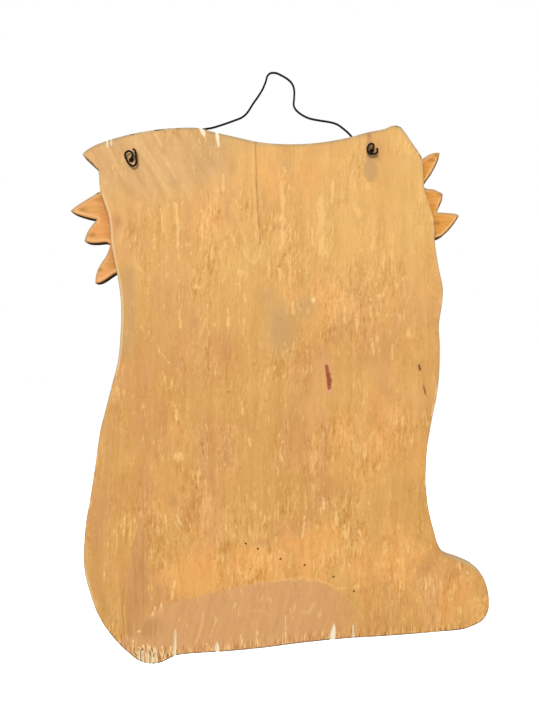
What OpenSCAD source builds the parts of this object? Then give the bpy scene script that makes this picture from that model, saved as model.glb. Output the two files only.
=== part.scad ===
// Scroll-sawn plywood sign with two leaf sprays on its front and a bent wire hanger.
// X runs to the right as seen from the painted front, Y runs from front to back, Z is up.
// The origin is under the peak of the wire, where the nail carries the sign.

/* [Board] */
// Width of the board between its outermost points
board_w = 252.5; // [210:0.5:300]
// Height of the board from its lowest point to its upper left corner
board_h = 334; // [280:1:400]
// Thickness of the board's plywood
board_t = 6; // [5:0.5:9]
// Thickness of each outer veneer of the plywood
veneer_t = 0.7; // [0.4:0.1:1.2]

/* [Leaf sprays] */
// Reach of the right spray's longest leaf from the spray's hub
right_reach = 72.7; // [60:0.1:80]
// Reach of the left spray's longest leaf from the spray's hub
left_reach = 68; // [56:0.1:74]
// Thickness of the sprays' plywood
spray_t = 6; // [4:0.5:9]

/* [Wire hanger] */
// Thickness of the wire
wire_d = 1.3; // [1:0.1:1.6]
// Height of the nail above the middle of the two wire holes
hanger_rise = 55; // [45:1:80]
// Width of the two holes that the wire passes through
hole_d = 3.2; // [2.8:0.1:4.2]
// Clear space between the wire's run and the front of the board
run_gap = 1.2; // [0.8:0.1:2]
// Clear space between the wire's curled ends and the back of the board
curl_gap = 1.3; // [0.8:0.1:2]
// Radius of the wire's bends where it enters and leaves a hole
wire_bend = 1.6; // [1.3:0.1:1.7]
// Height of the curl behind the right hole
right_curl_h = 10.4; // [9.5:0.1:12]
// Height of the curl behind the left hole
left_curl_h = 6.4; // [5.9:0.1:8]

/* [Brads] */
// Thickness of a brad
brad_d = 1.2; // [0.9:0.1:1.6]
// Width of a brad's head
head_d = 2.4; // [2:0.1:3.2]
// Height of a brad's head
head_t = 0.5; // [0.3:0.1:0.8]
// Depth that the sprays' brads reach into the board
brad_bite = 4; // [2.5:0.5:4.5]
// Length of the points that show through the back of the board
point_out = 0.3; // [0.1:0.1:0.8]

/* [Hidden] */

// Radial clearance of a brad in its pilot hole
pilot_gap = 0.05;
// Length of a brad's point and the width left at its end
point_long = 2 * brad_d;
point_end = brad_d / 3;
// How far a cut starts outside the face that it opens
overcut = 1;
round_fn = 48;
// Spacing of the points along a sawn edge, and along the wire's runs and curls
edge_step = 3.5;
leaf_step = 2.2;
run_step = 3;
curl_step = 0.9;
bend_turn = 18;
wire_sides = 10;
// Steps along a curl that make half a turn of it
half_turn = 6;

// Width and height of the grid that the sawing pattern is drawn on
grid_w = 252.5;
grid_h = 334;
// Across on the grid, the line that hangs straight below the nail
grid_nail = 134;

// A knot is [across, up] on the pattern, with a third value of 1 where the saw turned a sharp corner.
board_knots = [
    // upper right tip and the swell beside it
    [251.6, 314.8], [252.4, 315.9], [251.4, 317.4], [246.4, 320.8], [238.2, 324.1], [223.5, 328.3],
    [205.5, 331.5], [189, 332.6],
    [180, 332.3], [171.5, 330], [157, 326.7], [143, 323.7],
    // dip under the hanger
    [130, 322.5], [117.5, 322.4], [103, 323.6], [89, 326.1], [75, 329.8], [65, 331.8],
    // upper left corner
    [61, 333.6], [58, 334], [55, 333], [52, 329.4], [47.7, 323], [41.8, 313.8],
    // left side, with the saw's small waver half way
    [41, 305.5], [40.2, 294.5], [37.6, 286.5], [35.5, 280], [33.8, 270], [33.8, 262.5], [32.8, 254.5],
    [31, 244], [28.8, 233], [29.2, 224], [31.2, 210], [30.7, 198], [31, 181], [32.6, 166], [35.7, 151],
    [38, 136.5], [39.2, 121.5], [39.2, 110.5], [37.5, 95.5], [33.8, 80.5], [31.3, 73],
    // foot
    [28, 69], [19.5, 65.8], [10.5, 61.8], [4.5, 55.2], [1.2, 47], [0, 38], [0.9, 32], [4, 27], [10.9, 23.2],
    [17.7, 21.1],
    // bottom edge
    [30.7, 19.9], [46, 18.6], [65.5, 17.1], [89, 15.7], [117.5, 12.8], [142.5, 9.6], [163, 7.7], [185, 6.3],
    [193.8, 5.2],
    // round lower right lobe
    [198, 3.5], [202.5, 1.2], [207, 0], [212.5, 0.2], [218, 2.2], [223.5, 6.6], [229, 11.5], [237, 21],
    [243.5, 32], [248.7, 47], [251.2, 58.5], [251.6, 70.5],
    // right side
    [250.2, 88], [247, 106.5], [244.3, 125], [241.5, 144], [237.8, 158.7], [234, 173.5], [230.3, 188.5],
    [228.7, 207], [228.4, 218], [229, 229.5], [231.1, 242.5], [234.5, 260], [236, 276.5], [241.5, 294],
    [242.1, 302.5], [242.8, 306.6, 1]
];

// The two wire holes on the pattern
right_hole_knot = [222, 312.4];
left_hole_knot = [73, 318];

// A spray's hub on the board's pattern, the reach that its knots are drawn at, and its knots from the hub
right_hub_knot = [197.8, 291.6];
right_drawn = 72.7;
right_knots = [
    // first leaf, level
    [28, 9.2], [38, 6.8], [46, 3.3], [48.6, 1.7], [55.7, -2.6], [61.6, -6.5], [63.9, -8.8, 1],
    [61, -10.5], [53.6, -12.9], [47.3, -14.2, 1],
    // second leaf
    [48.8, -15.7], [51.4, -18.9], [53.8, -22.9], [55.3, -27.6, 1],
    [52.6, -28.8], [47.7, -29], [41.6, -28.6], [38.9, -29.9, 1],
    // third leaf, the longest
    [41.5, -37], [44.8, -41.9], [47, -46.3], [48.2, -50.3], [48.4, -54.2, 1],
    [46, -54.2], [42.4, -52.5], [37.2, -48.9], [30, -45], [24.5, -42.5, 1],
    // fourth and fifth leaf, in front of the board
    [26.6, -49], [26.2, -56], [22.5, -62], [18, -66, 1],
    [13.2, -60], [10, -52.5], [7.8, -44, 1],
    [6.8, -50], [3.4, -56], [-2, -61, 1],
    [-6.6, -51], [-8.9, -39], [-9.6, -27], [-9.2, -16], [-9.4, -7],
    // stalk
    [-13, 2], [-18, 10.5, 1], [-13.4, 14.6, 1], [-7, 8.4], [0, 6.2], [8, 7], [18, 8.8]
];
left_hub_knot = [73, 267.7];
left_drawn = 68;
left_knots = [
    // first leaf, level
    [-24, -8.4], [-32, -6], [-41.6, -2.5], [-46.1, -0.5], [-51.8, 5.2], [-56.4, 12.1, 1],
    [-54.5, 13.3], [-48, 14], [-42.6, 14.3, 1],
    // second leaf
    [-44.1, 18.3], [-45.8, 22.5], [-46, 26, 1],
    [-40.3, 28.8], [-36.5, 29.1], [-33.6, 30.4, 1],
    // third leaf, the longest
    [-34.6, 32.4], [-39, 38.7], [-42.9, 46.6], [-44.2, 51.8, 1],
    [-41.6, 52], [-37.1, 50.6], [-32.9, 47.7], [-27, 43.6], [-22, 41, 1],
    // fourth and fifth leaf, in front of the board
    [-22.8, 45], [-20.8, 49.6], [-15.5, 54, 1],
    [-12, 48], [-10, 42], [-9, 36, 1],
    [-6, 38.8], [-2, 40.2], [3, 40, 1],
    [6.8, 33], [8.8, 25], [9.4, 16], [9.2, 7],
    // stalk
    [12.4, -2], [17.2, -10.4, 1], [12.8, -14.4, 1], [6.6, -8.4], [0, -6.4], [-7, -7.2], [-15, -8.6]
];

// Brads of each spray, from its hub
right_brad_knots = [[0, 0], [27, -9], [14, -34]];
left_brad_knots = [[0, 0], [-24, 10], [-14, 33]];
// Brads along the lower part of the board, on the board's pattern
board_brad_knots = [[151, 74.5], [143.5, 71.3], [129.5, 65], [114.5, 61.2], [96.5, 54], [84, 45]];

// Places where the back veneer has torn out at a sawn edge: [across, up, length, width, lean], on the
// board's pattern. A sliver starts outside the edge; its length runs down where it is negative.
tear_outs = [
    [237.2, 324.6, -4.4, 1.1, -5], [234.8, 325.4, -4, 0.8, -6],
    [178.7, 333, -6.4, 3, -20], [169.2, 330.6, -10.4, 1.9, -8],
    [195.2, 4, 17, 1.4, 2], [168.5, 6.2, 7.2, 2.4, -3], [97.4, 14, 11, 3.4, 6], [84.2, 15, 9, 0.7, -2],
    [217.6, 1, 7.4, 0.9, 3], [214.8, -0.6, 8.6, 0.8, -2], [212, -0.8, 11, 0.9, 1], [209.6, -0.8, 7, 0.8, 3],
    [206.6, -0.8, 9.4, 0.9, -1]
];

// The wire's run from the nail down to each hole, across and up from the nail; the last knot is the hole
right_run = [
    [0, 0.65], [1.8, 0.4], [3.6, -1.4], [4.6, -4.9], [6.6, -9.7], [9.3, -14.1], [12.6, -18.8],
    [16.2, -24.4], [19.6, -27.5], [25.2, -29.8], [32, -32.2], [38.6, -34.2], [45, -35.4], [55, -39.4],
    [66, -45.6], [77, -52], [88, -57.8]
];
left_run = [
    [0, 0.65], [-2.1, 0.5], [-5.2, -0.9], [-9.2, -3.3], [-11.6, -5.6], [-13, -8.3], [-13.5, -11.8],
    [-13.3, -16.4], [-13.1, -19.9], [-14.5, -22.8], [-18.2, -25.9], [-23, -28.2], [-29.8, -29.6],
    [-36, -30.6], [-40.4, -31.9], [-44, -34.3], [-47.8, -37.6], [-54.5, -45.2], [-61, -52.2]
];

// The curled ends on the back, across and up from the middle of the hole, and the heights they are drawn at
right_curl_drawn = 10.4;
left_curl_drawn = 6.4;
right_curl = [
    [0, 0], [-1.2, 1.9], [-0.9, 3.7], [1.1, 4.7], [2.9, 3.8], [3.4, 2.1], [2.6, -0.4], [1.1, -2.9],
    [-1.2, -4.4], [-2.9, -3.7], [-3.5, -1.5], [-3.3, 0.6], [-3, 3.6], [-2.6, 5.2], [-1.3, 6]
];
left_curl = [
    [0, 0], [-0.8, 1.6], [-0.8, 2.8], [0.1, 3.6], [1.6, 3.3], [2.7, 1.8], [3, 0], [2.5, -1.7],
    [1.2, -2.7], [-0.5, -2.8], [-2.1, -2.3], [-3.1, -1], [-3.1, 0.2], [-2.6, 0.9]
];

// Depths from front to back: the wire's run lies at 0
front_y = wire_d / 2 + run_gap;
back_y = front_y + board_t;
curl_y = back_y + curl_gap + wire_d / 2;
core_t = board_t - 2 * veneer_t;
spray_core_t = spray_t - 2 * veneer_t;
spray_y = front_y - spray_t;
hole_middle = (right_hole_knot[1] + left_hole_knot[1]) / 2;

// A place on the pattern, as [x, z] on the hanging board
function on_board(knot) = [
    (knot[0] - grid_nail) * board_w / grid_w,
    (knot[1] - hole_middle) * board_h / grid_h - hanger_rise
];
function with_place(knot, spot) = len(knot) > 2 ? [spot[0], spot[1], 1] : spot;

right_hole = on_board(right_hole_knot);
left_hole = on_board(left_hole_knot);
board_edge = smooth_loop([for (k = board_knots) with_place(k, on_board(k))], edge_step);
right_edge = spray_edge(right_hub_knot, right_knots, right_reach / right_drawn);
left_edge = spray_edge(left_hub_knot, left_knots, left_reach / left_drawn);
right_brads = spray_spots(right_hub_knot, right_brad_knots, right_reach / right_drawn);
left_brads = spray_spots(left_hub_knot, left_brad_knots, left_reach / left_drawn);
board_brads = [for (k = board_brad_knots) on_board(k)];

function spray_spots(hub, knots, size) = [
    for (k = knots) with_place(k, on_board(hub) + size * [k[0], k[1]])
];
function spray_edge(hub, knots, size) = smooth_loop(spray_spots(hub, knots, size), leaf_step);

// Smooth curve through knots. It keeps its direction through a knot, and breaks at a sharp one.
function spot(knot) = [knot[0], knot[1]];
function is_sharp(knot) = len(knot) > 2;
function wrapped(knots, i) = knots[(i + len(knots)) % len(knots)];
function heading(before, here, after) = (after - before) / (norm(here - before) + norm(after - here));
function heading_at(knots, i) =
    heading(spot(wrapped(knots, i - 1)), spot(wrapped(knots, i)), spot(wrapped(knots, i + 1)));
function cubic(p, q, leave, arrive, t) =
    p * (2 * t ^ 3 - 3 * t ^ 2 + 1) + leave * (t ^ 3 - 2 * t ^ 2 + t)
    + q * (3 * t ^ 2 - 2 * t ^ 3) + arrive * (t ^ 3 - t ^ 2);
function stretch(knots, i, step) =
    let (
        from = wrapped(knots, i), to = wrapped(knots, i + 1),
        p = spot(from), q = spot(to), length = norm(q - p),
        out = heading_at(knots, i) * length, in = heading_at(knots, i + 1) * length,
        straight = is_sharp(from) && is_sharp(to),
        leave = straight ? q - p : is_sharp(from) ? 1.5 * (q - p) - 0.5 * in : out,
        arrive = straight ? q - p : is_sharp(to) ? 1.5 * (q - p) - 0.5 * out : in,
        pieces = straight ? 1 : ceil(length / step)
    )
    [for (n = [0 : pieces - 1]) cubic(p, q, leave, arrive, n / pieces)];
function smooth_loop(knots, step) = [for (i = [0 : len(knots) - 1]) each stretch(knots, i, step)];
function sharp_ended(knots) = let (last = len(knots) - 1) [
    for (i = [0 : last]) i % last == 0 ? [knots[i][0], knots[i][1], 1] : knots[i]
];
function smooth_line(knots, step) =
    let (last = len(knots) - 1, sharp = sharp_ended(knots))
    [for (i = [0 : last - 1]) each stretch(sharp, i, step), spot(knots[last])];

// The wire's centre line
function scaled_to(knots, end) = let (last = knots[len(knots) - 1]) [
    for (k = knots) [k[0] * end[0] / last[0], k[1] * end[1] / last[1]]
];
function resized(knots, size) = [for (k = knots) size * k];
function unit(v) = v / norm(v);
function reversed(list) = [for (i = [len(list) - 1 : -1 : 0]) list[i]];
// A quarter bend from the hole's axis into the plane at a depth; side is 1 where that plane is behind
function quarter_bend(hole, way, depth, side) = [
    for (a = [0 : bend_turn : 90]) [
        hole[0] + way[0] * wire_bend * (1 - cos(a)),
        depth - side * wire_bend * (1 - sin(a)),
        hole[1] + way[1] * wire_bend * (1 - cos(a))
    ]
];
function clear_of_bend(line, hole, depth) = [
    for (p = line) if (norm(p - hole) > wire_bend + wire_d / 8) [p[0], depth, p[1]]
];
// One half of the hanger: from the nail down to the hole, through it, and round the curl to the cut end
function half_hanger(run_knots, curl_knots, hole) =
    let (
        run = reversed(smooth_line(scaled_to(run_knots, hole), run_step)),
        curl = smooth_line([for (k = curl_knots) hole + k], curl_step),
        up = unit(run[1] - run[0]), round_way = unit(curl[1] - curl[0])
    )
    concat(
        reversed(clear_of_bend(run, hole, 0)), reversed(quarter_bend(hole, up, 0, -1)),
        quarter_bend(hole, round_way, curl_y, 1), clear_of_bend(curl, hole, curl_y)
    );
right_coil = resized(right_curl, right_curl_h / right_curl_drawn);
left_coil = resized(left_curl, left_curl_h / left_curl_drawn);
right_half = half_hanger(right_run, right_coil, right_hole);
left_half = half_hanger(left_run, left_coil, left_hole);
wire_line = concat(reversed(right_half), [for (i = [1 : len(left_half) - 1]) left_half[i]]);

// Least clear gap within a curl, between places further apart along it than half a turn
function least_gap(line) =
    let (last = len(line) - 1)
    min([for (i = [0 : last - half_turn]) for (j = [i + half_turn : last]) norm(line[i] - line[j])])
    - wire_d;
for (end = [["right", right_coil], ["left", left_coil]])
    echo(str("least gap in the ", end[0], " curl, mm"), least_gap(smooth_line(end[1], curl_step)));

// An upright sheet with its front at the given depth
module sheet(edge, depth, thickness)
    translate([0, depth + thickness, 0]) rotate([90, 0, 0]) linear_extrude(thickness) polygon(edge);

// A hole or shank along the depth
module rod(place, from, length, diameter)
    translate([place[0], from, place[1]]) rotate([-90, 0, 0])
        cylinder(d = diameter, h = length, $fn = round_fn);

// A hole right through a sheet
module through(place, front, thickness, diameter)
    rod(place, front - overcut, thickness + 2 * overcut, diameter);

// The board's holes: two for the wire and one for each brad
module board_holes() {
    for (hole = [right_hole, left_hole]) through(hole, front_y, board_t, hole_d);
    for (brad = board_brads) through(brad, front_y, board_t, brad_d + 2 * pilot_gap);
}

// Blind ends of the sprays' pilot holes in the board
module spray_pilots()
    for (brad = concat(right_brads, left_brads))
        rod(brad, front_y - overcut, overcut + brad_bite + pilot_gap, brad_d + 2 * pilot_gap);

// A sliver of torn veneer, wide at the edge and pointed at its end
module sliver(tear) {
    at = on_board(tear);
    long = tear[2];
    half = tear[3] / 2;
    outline = [
        [-half, 0], [half, 0], [half * 0.7, long * 0.55], [half * 0.1, long], [-half * 0.5, long * 0.7]
    ];
    translate([at[0], back_y + overcut, at[1]]) rotate([90, 0, 0]) rotate([0, 0, tear[4]])
        linear_extrude(veneer_t + overcut) polygon(outline);
}

module board_back_veneer()
    color("#dba666") difference() {
        sheet(board_edge, back_y - veneer_t, veneer_t);
        board_holes();
        for (tear = tear_outs) sliver(tear);
    }

module board_core()
    color("#e6cfa0") difference() {
        sheet(board_edge, front_y + veneer_t, core_t);
        board_holes();
        spray_pilots();
    }

module board_front_veneer()
    color("#ece0c4") difference() {
        sheet(board_edge, front_y, veneer_t);
        board_holes();
        spray_pilots();
    }

// One ply of a spray, drilled for its brads
module spray_ply(edge, brads, depth, thickness)
    difference() {
        sheet(edge, depth, thickness);
        for (brad = brads) through(brad, spray_y, spray_t, brad_d + 2 * pilot_gap);
    }

module right_spray_back_veneer()
    color("#e0a060") spray_ply(right_edge, right_brads, front_y - veneer_t, veneer_t);
module right_spray_core()
    color("#e6cfa0") spray_ply(right_edge, right_brads, spray_y + veneer_t, spray_core_t);
module right_spray_front_veneer()
    color("#50683c") spray_ply(right_edge, right_brads, spray_y, veneer_t);

module left_spray_back_veneer()
    color("#e0a060") spray_ply(left_edge, left_brads, front_y - veneer_t, veneer_t);
module left_spray_core()
    color("#e6cfa0") spray_ply(left_edge, left_brads, spray_y + veneer_t, spray_core_t);
module left_spray_front_veneer()
    color("#50683c") spray_ply(left_edge, left_brads, spray_y, veneer_t);

// A brad with its head on the given face and its point that far behind it
module brad(place, face, length) {
    rod(place, face - head_t, head_t, head_d);
    rod(place, face, length - point_long, brad_d);
    translate([place[0], face + length - point_long, place[1]]) rotate([-90, 0, 0])
        cylinder(d1 = brad_d, d2 = point_end, h = point_long, $fn = round_fn);
}

module spray_brads()
    color("#8f8a80")
        for (place = concat(right_brads, left_brads)) brad(place, spray_y, spray_t + brad_bite);

module board_brads()
    color("#8f8a80") for (place = board_brads) brad(place, front_y, board_t + point_out);

// A round bar along a line, as rings of points that turn no more than the line does
function carried(side, from, to) =
    let (axis = cross(from, to), along = from * to)
    side * along + cross(axis, side) + axis * (axis * side) / (1 + along);
function sides_along(ways, side, i = 0, done = []) =
    i == len(ways) ? done
    : let (now = i == 0 ? side : carried(side, ways[i - 1], ways[i]))
      sides_along(ways, now, i + 1, concat(done, [now]));
module bar(line, diameter, count) {
    last = len(line) - 1;
    ways = [for (i = [0 : last]) unit(line[min(i + 1, last)] - line[max(i - 1, 0)])];
    sides = sides_along(ways, unit(cross(ways[0], [0, 1, 0])));
    points = [
        for (i = [0 : last]) for (k = [0 : count - 1])
            let (a = 360 * k / count, across = cross(ways[i], sides[i]))
            line[i] + diameter / 2 * (cos(a) * sides[i] + sin(a) * across)
    ];
    walls = [
        for (i = [0 : last - 1]) for (k = [0 : count - 1])
            let (a = i * count + k, b = i * count + (k + 1) % count)
            each [[a, a + count, b], [b, a + count, b + count]]
    ];
    end = last * count;
    caps = [for (k = [1 : count - 2]) each [[0, k, k + 1], [end, end + k + 1, end + k]]];
    polyhedron(points, concat(walls, caps));
}

module hanger_wire()
    color("#26241f") bar(wire_line, wire_d, wire_sides);

board_back_veneer();
board_core();
board_front_veneer();
right_spray_back_veneer();
right_spray_core();
right_spray_front_veneer();
left_spray_back_veneer();
left_spray_core();
left_spray_front_veneer();
spray_brads();
board_brads();
hanger_wire();
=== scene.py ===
"""Looks of the wooden sign: worn veneers, sawn edges, paint, brads and wire, in a plain studio."""

import logging
import math
from dataclasses import dataclass
from enum import Enum
from functools import cached_property

import bmesh
import bpy
import numpy as np
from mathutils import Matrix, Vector
from mathutils.geometry import delaunay_2d_cdt
from mathutils.kdtree import KDTree


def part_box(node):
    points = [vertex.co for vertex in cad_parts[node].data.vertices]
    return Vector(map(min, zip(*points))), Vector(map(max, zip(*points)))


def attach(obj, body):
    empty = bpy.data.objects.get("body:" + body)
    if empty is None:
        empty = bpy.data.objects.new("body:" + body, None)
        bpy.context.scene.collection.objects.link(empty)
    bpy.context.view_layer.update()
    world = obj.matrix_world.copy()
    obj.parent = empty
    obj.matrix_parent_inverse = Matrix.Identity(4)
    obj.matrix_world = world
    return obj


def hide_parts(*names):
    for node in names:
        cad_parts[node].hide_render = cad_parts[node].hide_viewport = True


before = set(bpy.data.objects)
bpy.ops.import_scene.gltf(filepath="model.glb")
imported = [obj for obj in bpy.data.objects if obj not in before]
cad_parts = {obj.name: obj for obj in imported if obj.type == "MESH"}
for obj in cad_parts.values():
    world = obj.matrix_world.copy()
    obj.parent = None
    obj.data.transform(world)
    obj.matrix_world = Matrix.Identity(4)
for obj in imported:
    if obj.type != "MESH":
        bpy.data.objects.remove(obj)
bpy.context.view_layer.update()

Colour = tuple[float, float, float]
Spot = tuple[float, float]
Faces = list[tuple[int, ...]]

MM = 0.001
WELD = 1e-6
TINY = 1e-9
SIGN = "sign"
HANGER = "hanger"
LOG = logging.getLogger("sign")


class Layer(Enum):
    """What a listed mark does to the surface, and the vertex attribute that carries it."""

    FLECKS = "flecks"
    WARM = "warm"
    # Pale and scraped places, painted highlights in the curls, and the lighter halves of the painted leaves.
    PALE = "pale"
    GOLD = "gold"
    # Grey areas, partly painted shade.
    GREY = "grey"
    BRUSHED = "brushed"
    # Splits and dark marks, partly a painted shadow.
    DARK = "dark"
    RED = "red"
    # Darker brown places, partly painted shade and shadow.
    SHADE = "shade"
    ARC = "arc"
    # Edges whose light rim is partly a painted highlight.
    LIT_EDGE = "lit_edge"
    VEIN = "vein"
    STROKE = "stroke"
    # Painted light: places made lighter.
    LIGHT = "light"
    LEAF = "leaf"
    STEM = "stem"
    TORN = "torn"


class Face(Enum):
    """Which way a veneer's open face looks: the value is the sign of its Y direction."""

    BACK = 1
    FRONT = -1


class Side(Enum):
    """Side of a spray as seen from the painted front; the value is the sign of X."""

    RIGHT = 1
    LEFT = -1


# Marks on a surface

@dataclass(frozen=True)
class Streak:
    """A mark along a line of spots, in mm: full on the line, gone at its reach.

    The spots are across, to the right as seen by someone who faces the surface, and up from the nail.
    """

    line: tuple[Spot, ...]
    reach: float
    strength: float = 1.0

    def field(self, spots: np.ndarray) -> np.ndarray:
        """How strong the mark is at each spot.

        Args:
            spots: Places across and up, in mm, one a row.

        Returns:
            One value a spot, from 0 up to the mark's strength.
        """
        line = np.array(self.line, float)
        near = is_near(spots, line, self.reach)
        value = np.zeros(len(spots))
        away = gap_to_line(spots[near], line, closed=False)
        value[near] = self.strength * np.clip(1 - away / self.reach, 0, 1)
        return value


@dataclass(frozen=True)
class Blot:
    """A soft oval, in mm: its middle, its half sizes across and up, and how it leans in degrees."""

    middle: Spot
    size: Spot
    strength: float = 1.0
    lean: float = 0.0

    def field(self, spots: np.ndarray) -> np.ndarray:
        """How strong the mark is at each spot.

        Args:
            spots: Places across and up, in mm, one a row.

        Returns:
            One value a spot, from 0 up to the mark's strength.
        """
        turn = math.radians(self.lean)
        from_middle = spots - np.array(self.middle)
        across = from_middle[:, 0] * math.cos(turn) - from_middle[:, 1] * math.sin(turn)
        up = from_middle[:, 0] * math.sin(turn) + from_middle[:, 1] * math.cos(turn)
        away = np.hypot(across / self.size[0], up / self.size[1])
        return self.strength * np.clip(1 - away, 0, 1)


@dataclass(frozen=True)
class Leaflet:
    """A painted leaf, pointed at both ends, in mm: full along its midrib and gone at its border.

    Its side is 0 for the whole leaf, or 1 or -1 for the half to one side of the midrib. Below 1 its
    bluntness moves the widest part towards the base.
    """

    base: Spot
    tip: Spot
    half_width: float
    side: int = 0
    bluntness: float = 0.85

    def field(self, spots: np.ndarray) -> np.ndarray:
        """How strong the mark is at each spot.

        Args:
            spots: Places across and up, in mm, one a row.

        Returns:
            One value a spot, from 0 to 1.
        """
        base, tip = np.array(self.base, float), np.array(self.tip, float)
        length = float(np.linalg.norm(tip - base))
        way = (tip - base) / length
        from_base = spots - base
        along = np.clip(from_base @ way / length, 0, 1)
        across = from_base @ np.array((-way[1], way[0]))
        wide = np.maximum(self.half_width * np.sin(np.pi * along ** self.bluntness), TINY / MM)
        value = np.clip(1 - np.abs(across) / wide, 0, 1)
        return np.where(across * self.side >= 0, value, 0)


@dataclass(frozen=True)
class Area:
    """A filled shape with a soft border, in mm."""

    border: tuple[Spot, ...]
    softness: float
    strength: float = 1.0

    def field(self, spots: np.ndarray) -> np.ndarray:
        """How strong the mark is at each spot; it passes half its strength on the border.

        Args:
            spots: Places across and up, in mm, one a row.

        Returns:
            One value a spot, from 0 up to the mark's strength.
        """
        border = np.array(self.border, float)
        near = is_near(spots, border, self.softness)
        value = np.zeros(len(spots))
        gap = gap_to_line(spots[near], border, closed=True)
        signed = np.where(is_within(spots[near], [border]), gap, -gap)
        value[near] = self.strength * np.clip(0.5 + signed / (2 * self.softness), 0, 1)
        return value


Mark = Streak | Blot | Leaflet | Area
Marks = dict[Layer, list[Mark]]


def blots(*rows: tuple[float, ...]) -> list[Mark]:
    """Blots from rows of across, up, half width, half height and, if they aren't plain, strength and lean."""
    return [Blot((across, up), (wide, high), *rest) for across, up, wide, high, *rest in rows]


def streaks(*rows: tuple[float | Spot, ...]) -> list[Mark]:
    """Streaks from rows of reach, strength and the spots of the line."""
    return [Streak(tuple(line), reach, strength) for reach, strength, *line in rows]


def is_near(spots: np.ndarray, line: np.ndarray, reach: float) -> np.ndarray:
    """Whether each spot lies in the box round a line, widened by a reach."""
    low, high = line.min(0) - reach, line.max(0) + reach
    return ((spots >= low) & (spots <= high)).all(1)


def gap_to_line(spots: np.ndarray, line: np.ndarray, closed: bool) -> np.ndarray:
    """Distance from each spot to a line of points.

    Args:
        spots: Places, one a row.
        line: The line's points, one a row.
        closed: Whether the last point joins the first.

    Returns:
        One distance a spot.
    """
    if len(line) == 1:
        return np.linalg.norm(spots - line[0], axis=1)
    starts = line if closed else line[:-1]
    ends = np.roll(line, -1, axis=0) if closed else line[1:]
    ways = ends - starts
    squares = np.maximum((ways ** 2).sum(1), TINY ** 2)
    nearest = np.empty(len(spots))
    chunk = 4000
    for first in range(0, len(spots), chunk):
        part = spots[first:first + chunk, None, :] - starts[None]
        along = np.clip((part * ways).sum(2) / squares, 0, 1)
        part -= along[..., None] * ways
        nearest[first:first + chunk] = np.sqrt((part ** 2).sum(2).min(1))
    return nearest


def is_within(spots: np.ndarray, loops: list[np.ndarray]) -> np.ndarray:
    """Whether each spot lies inside the outermost loop and outside the others.

    Args:
        spots: Places, one a row.
        loops: Closed loops of points.

    Returns:
        One truth value a spot.
    """
    inside = np.zeros(len(spots), bool)
    x, z = spots[:, 0:1], spots[:, 1:2]
    for loop in loops:
        following = np.roll(loop, -1, axis=0)
        above = (loop[None, :, 1] > z) != (following[None, :, 1] > z)
        rise = following[:, 1] - loop[:, 1]
        rise = np.where(rise == 0, TINY, rise)
        cross = loop[:, 0] + (z - loop[:, 1]) * (following[:, 0] - loop[:, 0]) / rise
        inside ^= ((above & (x < cross)).sum(1) % 2).astype(bool)
    return inside


def rows_within(columns: np.ndarray, rows: np.ndarray, loops: list[np.ndarray]) -> np.ndarray:
    """Whether each place of a lattice lies inside the outermost loop and outside the others.

    Args:
        columns: Places across.
        rows: Places up.
        loops: Closed loops of points.

    Returns:
        One truth value for each column and row.
    """
    starts = np.concatenate(loops)
    ends = np.concatenate([np.roll(loop, -1, axis=0) for loop in loops])
    inside = np.zeros((len(columns), len(rows)), bool)
    for n, row in enumerate(rows):
        crossed = (starts[:, 1] > row) != (ends[:, 1] > row)
        low, high = starts[crossed], ends[crossed]
        share = (row - low[:, 1]) / (high[:, 1] - low[:, 1])
        crossings = np.sort(low[:, 0] + share * (high[:, 0] - low[:, 0]))
        inside[:, n] = np.searchsorted(crossings, columns) % 2 == 1
    return inside


# Outlines and sheets

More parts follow.
